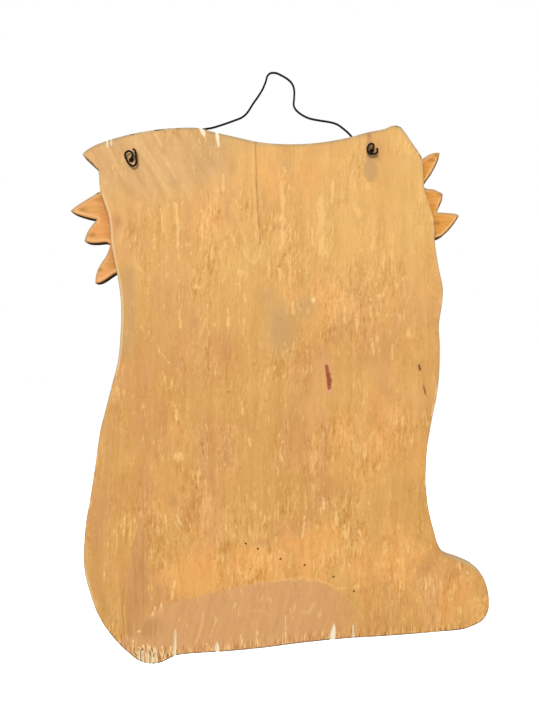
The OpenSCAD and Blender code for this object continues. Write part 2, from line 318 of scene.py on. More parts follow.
@dataclass
class Outline:
    """The sawn edge and the holes of a sheet, as closed loops in X and Z, in metres.

    Each loop runs with the wood on its left, so the edge turns one way and the holes the other.
    """

    loops: list[np.ndarray]

    @classmethod
    def of_node(cls, node: str) -> "Outline":
        """Reads the outline of a flat CAD node.

        Args:
            node: Name of the node.

        Returns:
            The outline of its rear face.
        """
        work = bmesh.new()
        work.from_mesh(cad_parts[node].data)
        bmesh.ops.remove_doubles(work, verts=work.verts, dist=WELD)
        work.normal_update()
        rear = max(vert.co.y for vert in work.verts)
        cap = {face for face in work.faces if all(rear - vert.co.y < WELD for vert in face.verts)}
        following = {}
        for face in cap:
            for loop in face.loops:
                if sum(other in cap for other in loop.edge.link_faces) == 1:
                    following[loop.vert] = loop.link_loop_next.vert
        loops = []
        while following:
            here = next(iter(following))
            points = []
            while here in following:
                points.append((here.co.x, here.co.z))
                here = following.pop(here)
            loops.append(np.array(points))
        work.free()
        loops.sort(key=lambda loop: -abs(cls.area(loop)))
        wanted = [1] + [-1] * (len(loops) - 1)
        return cls([loop if cls.area(loop) * way > 0 else loop[::-1] for loop, way in zip(loops, wanted)])

    @staticmethod
    def area(loop: np.ndarray) -> float:
        """Signed area of a loop, positive where it turns to the left."""
        following = np.roll(loop, -1, axis=0)
        return float((loop[:, 0] * following[:, 1] - following[:, 0] * loop[:, 1]).sum() / 2)

    def refined(self, step: float) -> "Outline":
        """The same outline with more points along its longer stretches.

        Args:
            step: Greatest distance between two points.

        Returns:
            The refined outline.
        """
        refined = []
        for loop in self.loops:
            points = []
            for start, end in zip(loop, np.roll(loop, -1, axis=0)):
                count = max(1, math.ceil(np.linalg.norm(end - start) / step))
                points += [start + (end - start) * n / count for n in range(count)]
            refined.append(np.array(points))
        return Outline(refined)

    def inset(self, distances: list[np.ndarray]) -> list[np.ndarray]:
        """Loops moved into the wood.

        Args:
            distances: For each loop, how far each of its points moves.

        Returns:
            The moved loops.
        """
        sharpest = 2.2
        least_turn = 0.1
        moved = []
        for loop, distance in zip(self.loops, distances):
            ways = np.roll(loop, -1, axis=0) - loop
            ways /= np.linalg.norm(ways, axis=1)[:, None]
            inward = np.stack([-ways[:, 1], ways[:, 0]], axis=1)
            before = np.roll(inward, 1, axis=0)
            mitre = inward + before
            mitre /= np.maximum(1 + (inward * before).sum(1), least_turn)[:, None]
            long = np.linalg.norm(mitre, axis=1)
            mitre *= (np.minimum(long, sharpest) / np.maximum(long, TINY))[:, None]
            moved.append(loop + mitre * distance[:, None])
        return moved

    def fitting(self, distances: list[np.ndarray]) -> list[np.ndarray]:
        """Insets reduced where the points lie so close that the moved edge would fold over itself.

        Args:
            distances: For each loop, how far each of its points should move.

        Returns:
            How far each point can move.
        """
        distances = [distance.copy() for distance in distances]
        tries, least_left, drawn_back = 8, 0.25, 0.6
        for _ in range(tries):
            for loop, moved, distance in zip(self.loops, self.inset(distances), distances):
                ways = np.roll(loop, -1, axis=0) - loop
                moved_ways = np.roll(moved, -1, axis=0) - moved
                folded = (ways * moved_ways).sum(1) < least_left * (ways ** 2).sum(1)
                distance[folded | np.roll(folded, 1)] *= drawn_back
        return distances

    def nearest(self, spots: np.ndarray) -> tuple[np.ndarray, np.ndarray]:
        """The loop point nearest to each spot, counted through all the loops.

        Args:
            spots: Places in X and Z.

        Returns:
            The points' numbers and their distances.
        """
        points = np.concatenate(self.loops)
        tree = KDTree(len(points))
        for n, point in enumerate(points):
            tree.insert((point[0], 0.0, point[1]), n)
        tree.balance()
        found = [tree.find((spot[0], 0.0, spot[1])) for spot in spots]
        return np.array([number for _, number, _ in found]), np.array([away for _, _, away in found])

    def underside(self, spots: np.ndarray) -> np.ndarray:
        """How far the edge nearest to each spot faces down.

        Args:
            spots: Places in X and Z.

        Returns:
            1 where it faces straight down, -1 where it faces straight up.
        """
        down = []
        for loop in self.loops:
            ways = np.roll(loop, -2, axis=0) - np.roll(loop, 2, axis=0)
            down.append(ways[:, 0] / np.maximum(np.linalg.norm(ways, axis=1), TINY))
        numbers, _ = self.nearest(spots)
        return np.concatenate(down)[numbers]

    def gap(self, spots: np.ndarray) -> np.ndarray:
        """Distance from each spot to the nearest edge or hole.

        Far from any edge the distance is to the nearest point of a loop, which is near enough there.

        Args:
            spots: Places in X and Z.

        Returns:
            One distance a spot.
        """
        fine = 8 * MM
        _, gap = self.nearest(spots)
        near = gap < fine
        exact = [gap_to_line(spots[near], loop, closed=True) for loop in self.loops]
        gap[near] = np.min(exact, axis=0)
        return gap


def triangulated(flat: np.ndarray, edges: list[tuple[int, int]]) -> tuple[int, np.ndarray]:
    """Triangles over points in X and Z, with the given edges kept.

    Args:
        flat: The points, in metres.
        edges: The edges' point numbers.

    Returns:
        How many points the triangles use, and the triangles' point numbers.
    """
    merged_below = 1e-5
    spots = [Vector(spot) / MM for spot in flat]
    used, _, found, _, _, _ = delaunay_2d_cdt(spots, edges, [], 0, merged_below)
    return len(used), np.array(found)


def linked(piece: bpy.types.Object) -> bpy.types.Object:
    """Puts an object in the scene."""
    bpy.context.scene.collection.objects.link(piece)
    return piece


def closed_piece(name: str, points: np.ndarray, faces: Faces, sharp_from: float) -> bpy.types.Object:
    """Makes a smooth piece whose faces all look outwards.

    Args:
        name: Name of the piece and its mesh.
        points: The points, one a row.
        faces: The faces' point numbers.
        sharp_from: Angle from which an edge stays sharp, in degrees.

    Returns:
        The new object.
    """
    mesh = bpy.data.meshes.new(name)
    mesh.from_pydata(points.tolist(), [], faces)
    work = bmesh.new()
    work.from_mesh(mesh)
    bmesh.ops.recalc_face_normals(work, faces=work.faces)
    work.to_mesh(mesh)
    work.free()
    mesh.shade_smooth()
    mesh.set_sharp_from_angle(angle=math.radians(sharp_from))
    return linked(bpy.data.objects.new(name, mesh))


@dataclass
class Veneer:
    """A sheet of veneer as a closed mesh with a fine surface, worn round at its open edge.

    Attributes:
        name: Name of the new piece.
        node: CAD node that it stands for.
        face: Which way its open face looks.
        marks: What is painted, worn or stained on the open face.
        spacing: Distance between the surface's points.
        sheet_outline: Outline of the whole sheet, as its core still shows it.
        neighbour: Outline of a sheet that stands close over this one, if any.
        arris: Radius of the worn edge.
        torn_arris: Radius where the wood has torn out, and at the brads' holes.
        torn_from: How far off the sheet's edge the veneer's edge counts as torn.
        torn_halo: How far from a torn edge the bare wood shows.
        edge_step: Greatest distance between two points of the edge.
        pin_hole: Width below which a hole is a brad's.
        ring_turns: Turn of each ring round the worn edge, in degrees.
        sharp_from: Angle from which an edge stays sharp, in degrees.
    """

    name: str
    node: str
    face: Face
    marks: Marks
    spacing: float
    sheet_outline: Outline
    neighbour: Outline | None = None
    arris: float = 0.35 * MM
    torn_arris: float = 0.08 * MM
    torn_from: float = 0.15 * MM
    torn_halo: float = 0.8 * MM
    edge_step: float = 1.3 * MM
    pin_hole: float = 2.0 * MM
    ring_turns: tuple[float, ...] = (0, 30, 60, 90)
    sharp_from: float = 42.0

    def __post_init__(self) -> None:
        """Reads the sheet's depth and outline from its CAD node."""
        low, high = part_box(self.node)
        self.open_y = high.y if self.face is Face.BACK else low.y
        self.glued_y = low.y if self.face is Face.BACK else high.y
        self.outline = Outline.of_node(self.node).refined(self.edge_step)
        self.ring_starts: list[list[int]] = []

    def build(self) -> bpy.types.Object:
        """Makes the piece, with its marks as attributes.

        Returns:
            The new object, which replaces the CAD node and rides on the sign.
        """
        points, depths, faces = self._rings()
        faces += self._surface(points, depths)
        faces += self._glued_cap()
        flat = np.array(points)
        vertices = np.stack([flat[:, 0], np.array(depths), flat[:, 1]], axis=1)
        piece = closed_piece(self.name, vertices, faces, self.sharp_from)
        self._attributes(piece.data, flat)
        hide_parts(self.node)
        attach(piece, SIGN)
        return piece

    def _rings(self) -> tuple[list[np.ndarray], list[float], Faces]:
        """Rings of points from the glued face round the worn edge, and the walls between them.

        Returns:
            The points in X and Z, their depths, and the faces of the walls.
        """
        outward = self.face.value
        radii = []
        for loop in self.outline.loops:
            torn = gap_to_line(loop, self.sheet_outline.loops[0], closed=True) > self.torn_from
            in_hole = loop is not self.outline.loops[0]
            pinned = np.ptp(loop[:, 0]) < self.pin_hole
            radii.append(np.where(pinned | (torn & (not in_hole)), self.torn_arris, self.arris))
        radii = self.outline.fitting(radii)
        rings = [(self.outline.loops, [np.full(len(loop), self.glued_y) for loop in self.outline.loops])]
        for turn in self.ring_turns:
            drawn = [radius * (1 - math.cos(math.radians(turn))) for radius in radii]
            sunk = [radius * (1 - math.sin(math.radians(turn))) for radius in radii]
            rings.append((self.outline.inset(drawn), [self.open_y - outward * sink for sink in sunk]))
        points, depths, faces = [], [], []
        for loops, levels in rings:
            starts = []
            for loop, level in zip(loops, levels):
                starts.append(len(points))
                points += list(loop)
                depths += level.tolist()
            self.ring_starts.append(starts)
        for low, high in zip(self.ring_starts, self.ring_starts[1:]):
            for first, upper, loop in zip(low, high, self.outline.loops):
                count = len(loop)
                for n in range(count):
                    after = (n + 1) % count
                    faces.append((first + n, first + after, upper + after, upper + n))
        return points, depths, faces

    def _ring(self, which: int) -> tuple[list[int], list[tuple[int, int]]]:
        """One ring of points, all its loops together.

        Args:
            which: The ring's number, from the glued face on.

        Returns:
            Its point numbers, and its edges as places among them.
        """
        members, edges = [], []
        for start, loop in zip(self.ring_starts[which], self.outline.loops):
            first, count = len(members), len(loop)
            members += range(start, start + count)
            edges += [(first + n, first + (n + 1) % count) for n in range(count)]
        return members, edges

    def _surface(self, points: list[np.ndarray], depths: list[float]) -> Faces:
        """Covers the open face with squares, stitched to the edge by triangles.

        Args:
            points: Points so far; the lattice's points are added.
            depths: Depths so far; the lattice's depths are added.

        Returns:
            The new faces.
        """
        clear_share, kept_share = 0.75, 0.45
        starts = self.ring_starts[-1]
        loops = [np.array(points[start:start + len(loop)]) for start, loop in zip(starts, self.outline.loops)]
        low, high = loops[0].min(0), loops[0].max(0)
        columns = np.arange(low[0], high[0] + self.spacing, self.spacing)
        rows = np.arange(low[1], high[1] + self.spacing, self.spacing)
        lattice = np.stack(np.meshgrid(columns, rows, indexing="ij"), axis=2).reshape(-1, 2)
        shape = (len(columns), len(rows))
        inside = rows_within(columns, rows, loops).ravel()
        gap = np.zeros(len(lattice))
        gap[inside] = Outline(loops).gap(lattice[inside])
        clear = (gap > clear_share * self.spacing).reshape(shape)
        squares = clear[:-1, :-1] & clear[1:, :-1] & clear[:-1, 1:] & clear[1:, 1:]
        kept = (gap > kept_share * self.spacing).reshape(shape)
        numbers = np.full(shape, -1)
        first = len(points)
        numbers[kept] = first + np.arange(int(kept.sum()))
        points += list(lattice.reshape(*shape, 2)[kept])
        depths += [self.open_y] * int(kept.sum())
        corner = np.argwhere(squares)
        faces = [
            (numbers[i, j], numbers[i + 1, j], numbers[i + 1, j + 1], numbers[i, j + 1]) for i, j in corner
        ]
        inner = np.zeros(shape, bool)
        inner[1:-1, 1:-1] = squares[:-1, :-1] & squares[1:, :-1] & squares[:-1, 1:] & squares[1:, 1:]
        loose = numbers[kept & ~inner].tolist()
        members, edges = self._ring(-1)
        members += loose
        place = {number: n for n, number in enumerate(members)}
        padded = np.pad(squares, 1)
        for i, j in np.argwhere(padded[1:, :] != padded[:-1, :]):
            if 0 < j <= squares.shape[1]:
                edges.append((place[int(numbers[i, j - 1])], place[int(numbers[i, j])]))
        for i, j in np.argwhere(padded[:, 1:] != padded[:, :-1]):
            if 0 < i <= squares.shape[0]:
                edges.append((place[int(numbers[i - 1, j])], place[int(numbers[i, j])]))
        flat = np.array([points[number] for number in members])
        used, triangles = triangulated(flat, edges)
        if used != len(members):
            raise ValueError(f"{self.name}: the edge crosses itself")
        middles = flat[triangles].mean(1)
        wanted = is_within(middles, loops)
        cell = ((middles - low) / self.spacing).astype(int)
        cell = np.clip(cell, 0, np.array(squares.shape) - 1)
        wanted &= ~squares[cell[:, 0], cell[:, 1]]
        members = np.array(members)
        return faces + [tuple(members[triangle]) for triangle in triangles[wanted]]

    def _glued_cap(self) -> Faces:
        """Closes the face that is glued to the core.

        Returns:
            Its triangles.
        """
        loops = self.outline.loops
        members, edges = self._ring(0)
        flat = np.concatenate(loops)
        _, triangles = triangulated(flat, edges)
        wanted = is_within(flat[triangles].mean(1), loops)
        members = np.array(members)
        return [tuple(members[triangle]) for triangle in triangles[wanted]]

    def _torn(self, flat: np.ndarray) -> np.ndarray:
        """How close each point lies to a place where the veneer has torn out.

        Args:
            flat: Points in X and Z.

        Returns:
            1 on a torn edge, 0 from the halo's reach on.
        """
        value = np.zeros(len(flat))
        edge = self.outline.loops[0]
        off_edge = gap_to_line(edge, self.sheet_outline.loops[0], closed=True) > self.torn_from
        for n in np.flatnonzero(off_edge):
            stretch = edge[[n, (n + 1) % len(edge)]]
            near = is_near(flat, stretch, self.torn_halo)
            away = gap_to_line(flat[near], stretch, closed=False)
            value[near] = np.maximum(value[near], np.clip(1 - away / self.torn_halo, 0, 1))
        return value

    def _attributes(self, mesh: bpy.types.Mesh, flat: np.ndarray) -> None:
        """Writes the distance to the edge and each layer of marks on the mesh's points.

        Args:
            mesh: The mesh.
            flat: Its points in X and Z, in metres.
        """
        spots = flat / MM
        spots[:, 0] *= -self.face.value
        sawn = Outline(self.sheet_outline.loops[:1])
        values = {
            "edge_gap": sawn.gap(flat) / MM,
            "underside": sawn.underside(flat),
            Layer.TORN.value: self._torn(flat),
        }
        wire_holes = [loop for loop in self.sheet_outline.loops[1:] if np.ptp(loop[:, 0]) > self.pin_hole]
        if wire_holes:
            values["hole_gap"] = Outline(wire_holes).gap(flat) / MM
        if self.neighbour is not None:
            values["neighbour_gap"] = self.neighbour.gap(flat) / MM
        for layer, marks in self.marks.items():
            values[layer.value] = np.max([mark.field(spots) for mark in marks], axis=0)
        for name, value in values.items():
            attribute = mesh.attributes.new(name, "FLOAT", "POINT")
            attribute.data.foreach_set("value", value.astype(np.float32))


# Shader graphs

class Signal:
    """A number that varies over a surface: a socket that takes arithmetic."""

    def __init__(self, graph: "Graph", socket: bpy.types.NodeSocket) -> None:
        """Keeps the graph and the socket."""
        self.graph = graph
        self.socket = socket

    def _maths(self, operation: str, *values: "Signal | float") -> "Signal":
        """A Math node on the given values."""
        return self.graph.add("ShaderNodeMath", {"operation": operation}, dict(enumerate(values)))

    def __add__(self, other: "Signal | float") -> "Signal":
        """Sum."""
        return self._maths("ADD", self, other)

    __radd__ = __add__

    def __sub__(self, other: "Signal | float") -> "Signal":
        """Difference."""
        return self._maths("SUBTRACT", self, other)

    def __rsub__(self, other: float) -> "Signal":
        """Difference from a number."""
        return self._maths("SUBTRACT", other, self)

    def __mul__(self, other: "Signal | float") -> "Signal":
        """Product."""
        return self._maths("MULTIPLY", self, other)

    __rmul__ = __mul__

    def __truediv__(self, other: "Signal | float") -> "Signal":
        """Quotient."""
        return self._maths("DIVIDE", self, other)

    def __rtruediv__(self, other: float) -> "Signal":
        """Quotient of a number."""
        return self._maths("DIVIDE", other, self)

    def __or__(self, other: "Signal | float") -> "Signal":
        """The greater of two values."""
        return self._maths("MAXIMUM", self, other)

    __ror__ = __or__

    def __abs__(self) -> "Signal":
        """Size without its sign."""
        return self._maths("ABSOLUTE", self)

    def rise(self, low: float, high: float, top: float = 1.0) -> "Signal":
        """Smooth step from 0 at low to top at high; it falls where low is the greater."""
        sockets = {0: self, 1: low, 2: high, 3: 0.0, 4: top}
        return self.graph.add("ShaderNodeMapRange", {"interpolation_type": "SMOOTHSTEP"}, sockets)

    def spread(self, low: float, high: float) -> "Signal":
        """Even change from 0 at low to 1 at high."""
        return self.graph.add("ShaderNodeMapRange", {}, {0: self, 1: low, 2: high, 3: 0.0, 4: 1.0})


Shade = Signal | Colour


class Graph:
    """The node graph of a material or of the world.

    Attributes:
        owner: The material or the world.
        tree: Its nodes and links.
        seed: How many noises there are so far, so that each one differs.
        step: The colour that one step of tone adds.
        colour: The colour that has been laid so far.
        grain: Coordinates that waver with the grain.
    """

    def __init__(self, owner: bpy.types.Material | bpy.types.World, step: Colour = (0.0, 0.0, 0.0)) -> None:
        """Starts an empty graph.

        Args:
            owner: The material or the world.
            step: The colour that one step of tone adds.
        """
        owner.use_nodes = True
        self.owner = owner
        self.tree = owner.node_tree
        self.tree.nodes.clear()
        self.seed = 0
        self.step = step
        self.colour: Shade = (0.0, 0.0, 0.0)
        self.grain: Signal | None = None

    @classmethod
    def of_material(cls, name: str, step: Colour = (0.0, 0.0, 0.0)) -> "Graph":
        """The graph of a new material."""
        return cls(bpy.data.materials.new(name), step)

    def add(
        self,
        kind: str,
        settings: dict[str, object] | None = None,
        sockets: dict[int | str, object] | None = None,
        output: int | str = 0,
    ) -> Signal | None:
        """Adds a node.

        Args:
            kind: Type of the node.
            settings: Its properties by name.
            sockets: Values or links of its input sockets.
            output: Output socket to return.

        Returns:
            The output, or nothing where the node has none.
        """
        node = self.tree.nodes.new(kind)
        for name, value in (settings or {}).items():
            setattr(node, name, value)
        for name, value in (sockets or {}).items():
            if isinstance(value, Signal):
                self.tree.links.new(value.socket, node.inputs[name])
            elif isinstance(value, tuple) and node.inputs[name].type == "RGBA":
                node.inputs[name].default_value = (*value, 1.0)
            else:
                node.inputs[name].default_value = value
        return Signal(self, node.outputs[output]) if node.outputs else None

    def attribute(self, name: str) -> Signal:
        """A value that the mesh carries."""
        return self.add("ShaderNodeAttribute", {"attribute_name": name}, output="Fac")

    def layer(self, layer: Layer) -> Signal:
        """A layer of marks that the mesh carries."""
        return self.attribute(layer.value)

    @cached_property
    def place(self) -> Signal:
        """Object coordinates, in metres."""
        return self.add("ShaderNodeTexCoord", output="Object")

    def facing(self) -> Signal:
        """How far the surface faces to the front or back, from 0 to 1."""
        normal = self.add("ShaderNodeTexCoord", output="Normal")
        return abs(self.add("ShaderNodeSeparateXYZ", {}, {0: normal}, output="Y"))

    def seen(self) -> Signal:
        """Whether a ray is one that looks.

        Returns:
            1 for a camera, glossy or transmission ray, 0 for the others.
        """
        kinds = ("Is Camera Ray", "Is Glossy Ray", "Is Transmission Ray")
        camera, glossy, through = (self.add("ShaderNodeLightPath", output=kind) for kind in kinds)
        return camera | glossy | through

    def axis(self, name: str) -> Signal:
        """One object coordinate, in mm."""
        return self.add("ShaderNodeSeparateXYZ", {}, {0: self.place}, output=name) * (1 / MM)

    def mix(self, share: Signal | float, first: Shade, second: Shade) -> Signal:
        """Two colours mixed by a share: the first at 0, the second at 1."""
        settings = {"data_type": "RGBA", "blend_type": "MIX", "clamp_factor": True}
        return self.add("ShaderNodeMix", settings, {0: share, 6: first, 7: second}, output=2)

    def vector(self, operation: str, *values: Shade) -> Signal:
        """A Vector Math node on the given values."""
        return self.add("ShaderNodeVectorMath", {"operation": operation}, dict(enumerate(values)))

    def mapped(self, place: Signal, **sockets: tuple[float, float, float]) -> Signal:
        """Coordinates scaled, turned and shifted by a Mapping node."""
        return self.add("ShaderNodeMapping", {"vector_type": "POINT"}, {"Vector": place, **sockets})

    def wobbled(self, size: Spot, amount: Spot) -> Signal:
        """Coordinates pushed about by soft noise, so that lines along the grain waver.

        Args:
            size: Size of the waver across and up, in mm.
            amount: Greatest push across and up, in mm.

        Returns:
            The new coordinates.
        """
        noise = self.noise((size[0], size[0], size[1]), detail=1.0, colour=True)
        centred = self.vector("SUBTRACT", noise, (0.5, 0.5, 0.5))
        reach = 4 * MM
        push = (reach * amount[0], 0.0, reach * amount[1])
        return self.vector("MULTIPLY_ADD", centred, push, self.place)

    def noise(
        self,
        size: tuple[float, float, float],
        place: Signal | None = None,
        detail: float = 2.0,
        roughness: float = 0.5,
        colour: bool = False,
        lean: float = 0.0,
    ) -> Signal:
        """Noise whose features have a size of their own along each axis.

        Args:
            size: Size of a feature along X, Y and Z, in mm.
            place: Coordinates in metres, where they aren't the object's.
            detail: Octaves.
            roughness: Strength of the finer octaves.
            colour: Whether to return the noise's colour.
            lean: Turn of the grain about Y, in degrees.

        Returns:
            The noise, about 0.5 on average.
        """
        self.seed += 1
        offset = (7.3 * self.seed, 3.1 * self.seed, 5.7 * self.seed)
        scale = tuple(1 / (MM * along) for along in size)
        place = place or self.place
        if lean:
            place = self.mapped(place, Rotation=(0.0, math.radians(lean), 0.0))
        shifted = self.mapped(place, Scale=scale, Location=offset)
        sockets = {"Vector": shifted, "Scale": 1.0, "Detail": detail, "Roughness": roughness}
        return self.add("ShaderNodeTexNoise", {"noise_dimensions": "3D"}, sockets, output=1 if colour else 0)

    def cracked(self, place: Signal, size: tuple[float, float, float]) -> Signal:
        """Distance to the nearest crack in dried paint.

        Args:
            place: Coordinates, in metres.
            size: Size of a flake along X, Y and Z, in mm.

        Returns:
            The distance, 0 in the crack and about 0.5 in the middle of a flake.
        """
        scale = tuple(1 / (MM * along) for along in size)
        scaled = self.mapped(place, Scale=scale)
        settings = {"feature": "DISTANCE_TO_EDGE", "voronoi_dimensions": "3D"}
        return self.add("ShaderNodeTexVoronoi", settings, {"Vector": scaled, "Scale": 1.0}, output="Distance")

    def painted_ridge_light(self, place: Signal, size: tuple[float, float, float], lit_from: Spot) -> Signal:
        """Painted light and shade of small ridges: lighter on the lit side and darker on the other.

        Args:
            place: Coordinates, in metres.
            size: Size of a ridge along X, Y and Z, in mm.
            lit_from: Where the lit side lies, along X and Z, in mm.

        Returns:
            Above 0 on the lit sides and below it on the others.
        """
        seed = self.seed
        ridge = self.noise(size, place)
        self.seed = seed
        shift = (lit_from[0] * MM, 0.0, lit_from[1] * MM)
        return ridge - self.noise(size, self.vector("ADD", place, shift))

    def toned(self, colour: Shade, steps: Signal) -> Signal:
        """A colour made lighter by steps of tone, or darker where they are below 0."""
        return self.vector("MULTIPLY_ADD", steps, self.step, colour)

    def lay(self, share: Signal | float, colour: Shade) -> None:
        """Lays a colour over the colour so far, by a share."""
        self.colour = self.mix(share, self.colour, colour)

    def tone(self, steps: Signal) -> None:
        """Tones the colour so far by steps."""
        self.colour = self.toned(self.colour, steps)

    def bump(self, height: Signal, depth: float, under: Signal | None = None) -> Signal:
        """A bumped normal.

        Args:
            height: Height, from 0 to 1.
            depth: Real depth of a height of 1, in mm.
            under: Normal that it is added to.

        Returns:
            The normal.
        """
        sockets = {"Height": height, "Distance": depth * MM, "Strength": 1.0}
        if under is not None:
            sockets["Normal"] = under
        return self.add("ShaderNodeBump", {}, sockets)

    def finished(self, roughness: Signal | float, **others: object) -> bpy.types.Material:
        """Closes the graph with a Principled shader of the colour so far.

        Args:
            roughness: Roughness.
            others: Other inputs by name, with _ for a space.

        Returns:
            The material.
        """
        sockets = {"Base Color": self.colour, "Roughness": roughness}
        sockets |= {name.replace("_", " "): value for name, value in others.items()}
        return self.closed(self.add("ShaderNodeBsdfPrincipled", {}, sockets))

    def closed(self, shader: Signal) -> bpy.types.Material | bpy.types.World:
        """Leads a shader to the graph's output.

        Args:
            shader: The shader.

        Returns:
            The graph's owner.
        """
        kind = "World" if isinstance(self.owner, bpy.types.World) else "Material"
        self.add(f"ShaderNodeOutput{kind}", {}, {"Surface": shader})
        return self.owner


# Finishes

@dataclass(frozen=True)
class BackVeneer:
    """Bare veneer under a thin ochre stain that has worn through in flecks, with painted light and shade laid
    over it.
    """

    slot: str = "back_veneer"
    tan: Colour = (0.715, 0.372, 0.112)
    yellow: Colour = (0.722, 0.388, 0.116)
    pink: Colour = (0.695, 0.350, 0.124)
    # Painted light: the colour laid where the veneer is made lighter.
    light: Colour = (0.830, 0.475, 0.150)
    orange: Colour = (0.900, 0.440, 0.130)
    grey: Colour = (0.655, 0.385, 0.165)
    ashen_and_shade: Colour = (0.585, 0.338, 0.128)
    brown_and_shade: Colour = (0.590, 0.290, 0.100)
    veiled: Colour = (0.690, 0.352, 0.140)
    gold: Colour = (0.905, 0.540, 0.180)
    scraped: Colour = (0.930, 0.600, 0.240)
    bare: Colour = (0.950, 0.680, 0.330)
    fresh: Colour = (0.95, 0.78, 0.48)
    brushed_light: Colour = (0.89, 0.55, 0.215)
    split_and_shade: Colour = (0.33, 0.135, 0.032)
    charred_and_shade: Colour = (0.12, 0.050, 0.010)
    stain: Colour = (0.33, 0.085, 0.022)
    clotted: Colour = (0.25, 0.055, 0.014)
    blush: Colour = (0.74, 0.33, 0.175)
    rim: Colour = (0.33, 0.27, 0.16)
    # Worn wood at the edge, also laid as a painted highlight along the lit edge.
    worn: Colour = (0.92, 0.64, 0.34)
    tone_step: Colour = (0.062, 0.050, 0.0270)
    brush_lean: float = -31.0
    stroke_lean: float = 16.0
    # Painted light rises from its low height to its top height.
    painted_light_top_z: float = -60.0
    painted_light_low_z: float = -190.0
    foot_fades: Spot = (28.0, 62.0)
    fringe_z: float = -352.0

    def material(self) -> bpy.types.Material:
        """The finish as a material.

        Returns:
            The material.
        """
        g = Graph.of_material(self.slot, self.tone_step)
        g.grain = g.wobbled((26, 70), (0.9, 2.0))
        self._ground(g)
        self._marks(g)
        self._damage(g)
        self._rim(g)
        fine = g.noise((0.35, 0.35, 3), g.grain)
        cross = g.noise((1.3, 1.3, 7), g.grain)
        height = fine * 0.4 + cross * 0.6 - g.layer(Layer.DARK).rise(0.25, 0.7) * 0.8
        normal = g.bump(height, 0.06)
        roughness = 0.56 + fine * 0.16 + g.layer(Layer.GREY) * 0.06
        return g.finished(roughness, Normal=normal, Specular_IOR_Level=0.3)

    def _ground(self, g: Graph) -> None:
        """The stained veneer without its marks, with painted light that makes it lighter towards the top, and
        painted light and shade on small ridges.

        Args:
            g: The graph.
        """
        cloud = g.noise((26, 26, 44))
        zone = g.noise((15, 15, 26), detail=3.0, roughness=0.6)
        calm = g.noise((19, 19, 34)) + g.layer(Layer.FLECKS) * 0.22
        mottle = g.noise((8, 8, 14), g.grain, detail=4.0, roughness=0.9)
        column = g.noise((4.2, 4.2, 48), g.grain)
        streak = g.noise((1.7, 1.7, 11), g.grain, roughness=0.6)
        # Painted light and shade: small ridges lit on one side and shaded on the other.
        ridge = g.painted_ridge_light(g.grain, (1.6, 1.6, 4.8), (0.45, 0.30))
        g.colour = g.mix(cloud.rise(0.40, 0.50), self.yellow, self.tan)
        g.lay(cloud.rise(0.50, 0.62, 0.75), self.pink)
        # Painted light: lighter towards the top and where the painted-light marks lie; the zone adds tone
        # that differs at random.
        height = g.axis("Z").spread(self.painted_light_low_z, self.painted_light_top_z)
        bright = height * 0.5 + (zone - 0.5) * 0.7 + g.layer(Layer.LIGHT)
        g.lay(bright, self.light)
        warm = (g.layer(Layer.WARM) + (zone - 0.5) * 1.2 + (mottle - 0.5) * 0.4).rise(0.12, 0.70, 0.85)
        g.lay(warm, self.orange)
        quiet = g.axis("X").spread(40, 90)
        lively = calm.rise(0.46, 0.74, 0.95) + 0.32 - quiet * 0.10
        tone = (mottle - 0.5) * 7.0 + (zone - 0.5) + ridge * 5.0 + (streak - 0.5) * 3.8
        # The upper part is toned lighter too, as painted light.
        base = (column - 0.5) * 2.4 + height * 0.40 - 0.68
        g.tone(tone * lively + base)

    def _marks(self, g: Graph) -> None:
        """What the brush and the stain left: grey areas, strokes, the veiled foot, golden flecks and darker
        brown places, among which lie painted shade along the left edge and a painted shadow below a curl.

        Args:
            g: The graph.
        """
        dash = g.noise((1.4, 1.4, 6.0), g.grain, roughness=0.6)
        spot = g.noise((2.2, 2.2, 3.0))
        rough = (dash - 0.5) + (spot - 0.5) * 0.8
        brushed = g.layer(Layer.BRUSHED)
        g.lay(brushed.rise(0.05, 0.9, 0.8), self.grey)
        fan = g.noise((3.2, 3.2, 34), detail=3.0, lean=self.brush_lean) - 0.5
        g.tone(fan * brushed.rise(0.15, 0.5, 4.5))
        # Grey areas, partly painted shade along the left edge.
        g.lay((g.layer(Layer.GREY) + rough * 0.35).rise(0.05, 1.0, 0.85), self.ashen_and_shade)
        self._foot(g)
        gold = g.layer(Layer.GOLD)
        golden = (gold * 1.1 + rough * 1.7).rise(0.24, 0.95, 0.8) * gold.rise(0.02, 0.3)
        g.lay(golden, self.gold)
        flecks = g.layer(Layer.FLECKS)
        cluster = (g.noise((7, 7, 11)) - 0.5) * 0.5
        worn_through = (dash + flecks * 0.13 + cluster).rise(0.62, 0.82, 0.8)
        g.lay(worn_through, self.gold)
        g.lay((dash + flecks * 0.11 + cluster).rise(0.84, 0.96, 0.7), self.bare)
        pit = (g.noise((0.9, 0.9, 3.4), g.grain) + flecks * 0.07).rise(0.62, 0.80, -2.2)
        g.tone(pit)
        # Darker brown places, partly painted shade along the left edge and a painted shadow below a curl.
        shade = (g.layer(Layer.SHADE) + rough * 0.15).rise(0.22, 0.60, 0.82)
        strand = g.noise((1.3, 1.3, 26), g.grain) - 0.5
        g.lay(shade, g.toned(self.brown_and_shade, (dash - 0.5) * 2.0 + strand * 4.5))
        stroke = (g.layer(Layer.STROKE) + rough * 0.30).rise(0.08, 0.85, 0.75)
        g.lay(stroke * g.layer(Layer.STROKE).rise(0.0, 0.15), self.brushed_light)

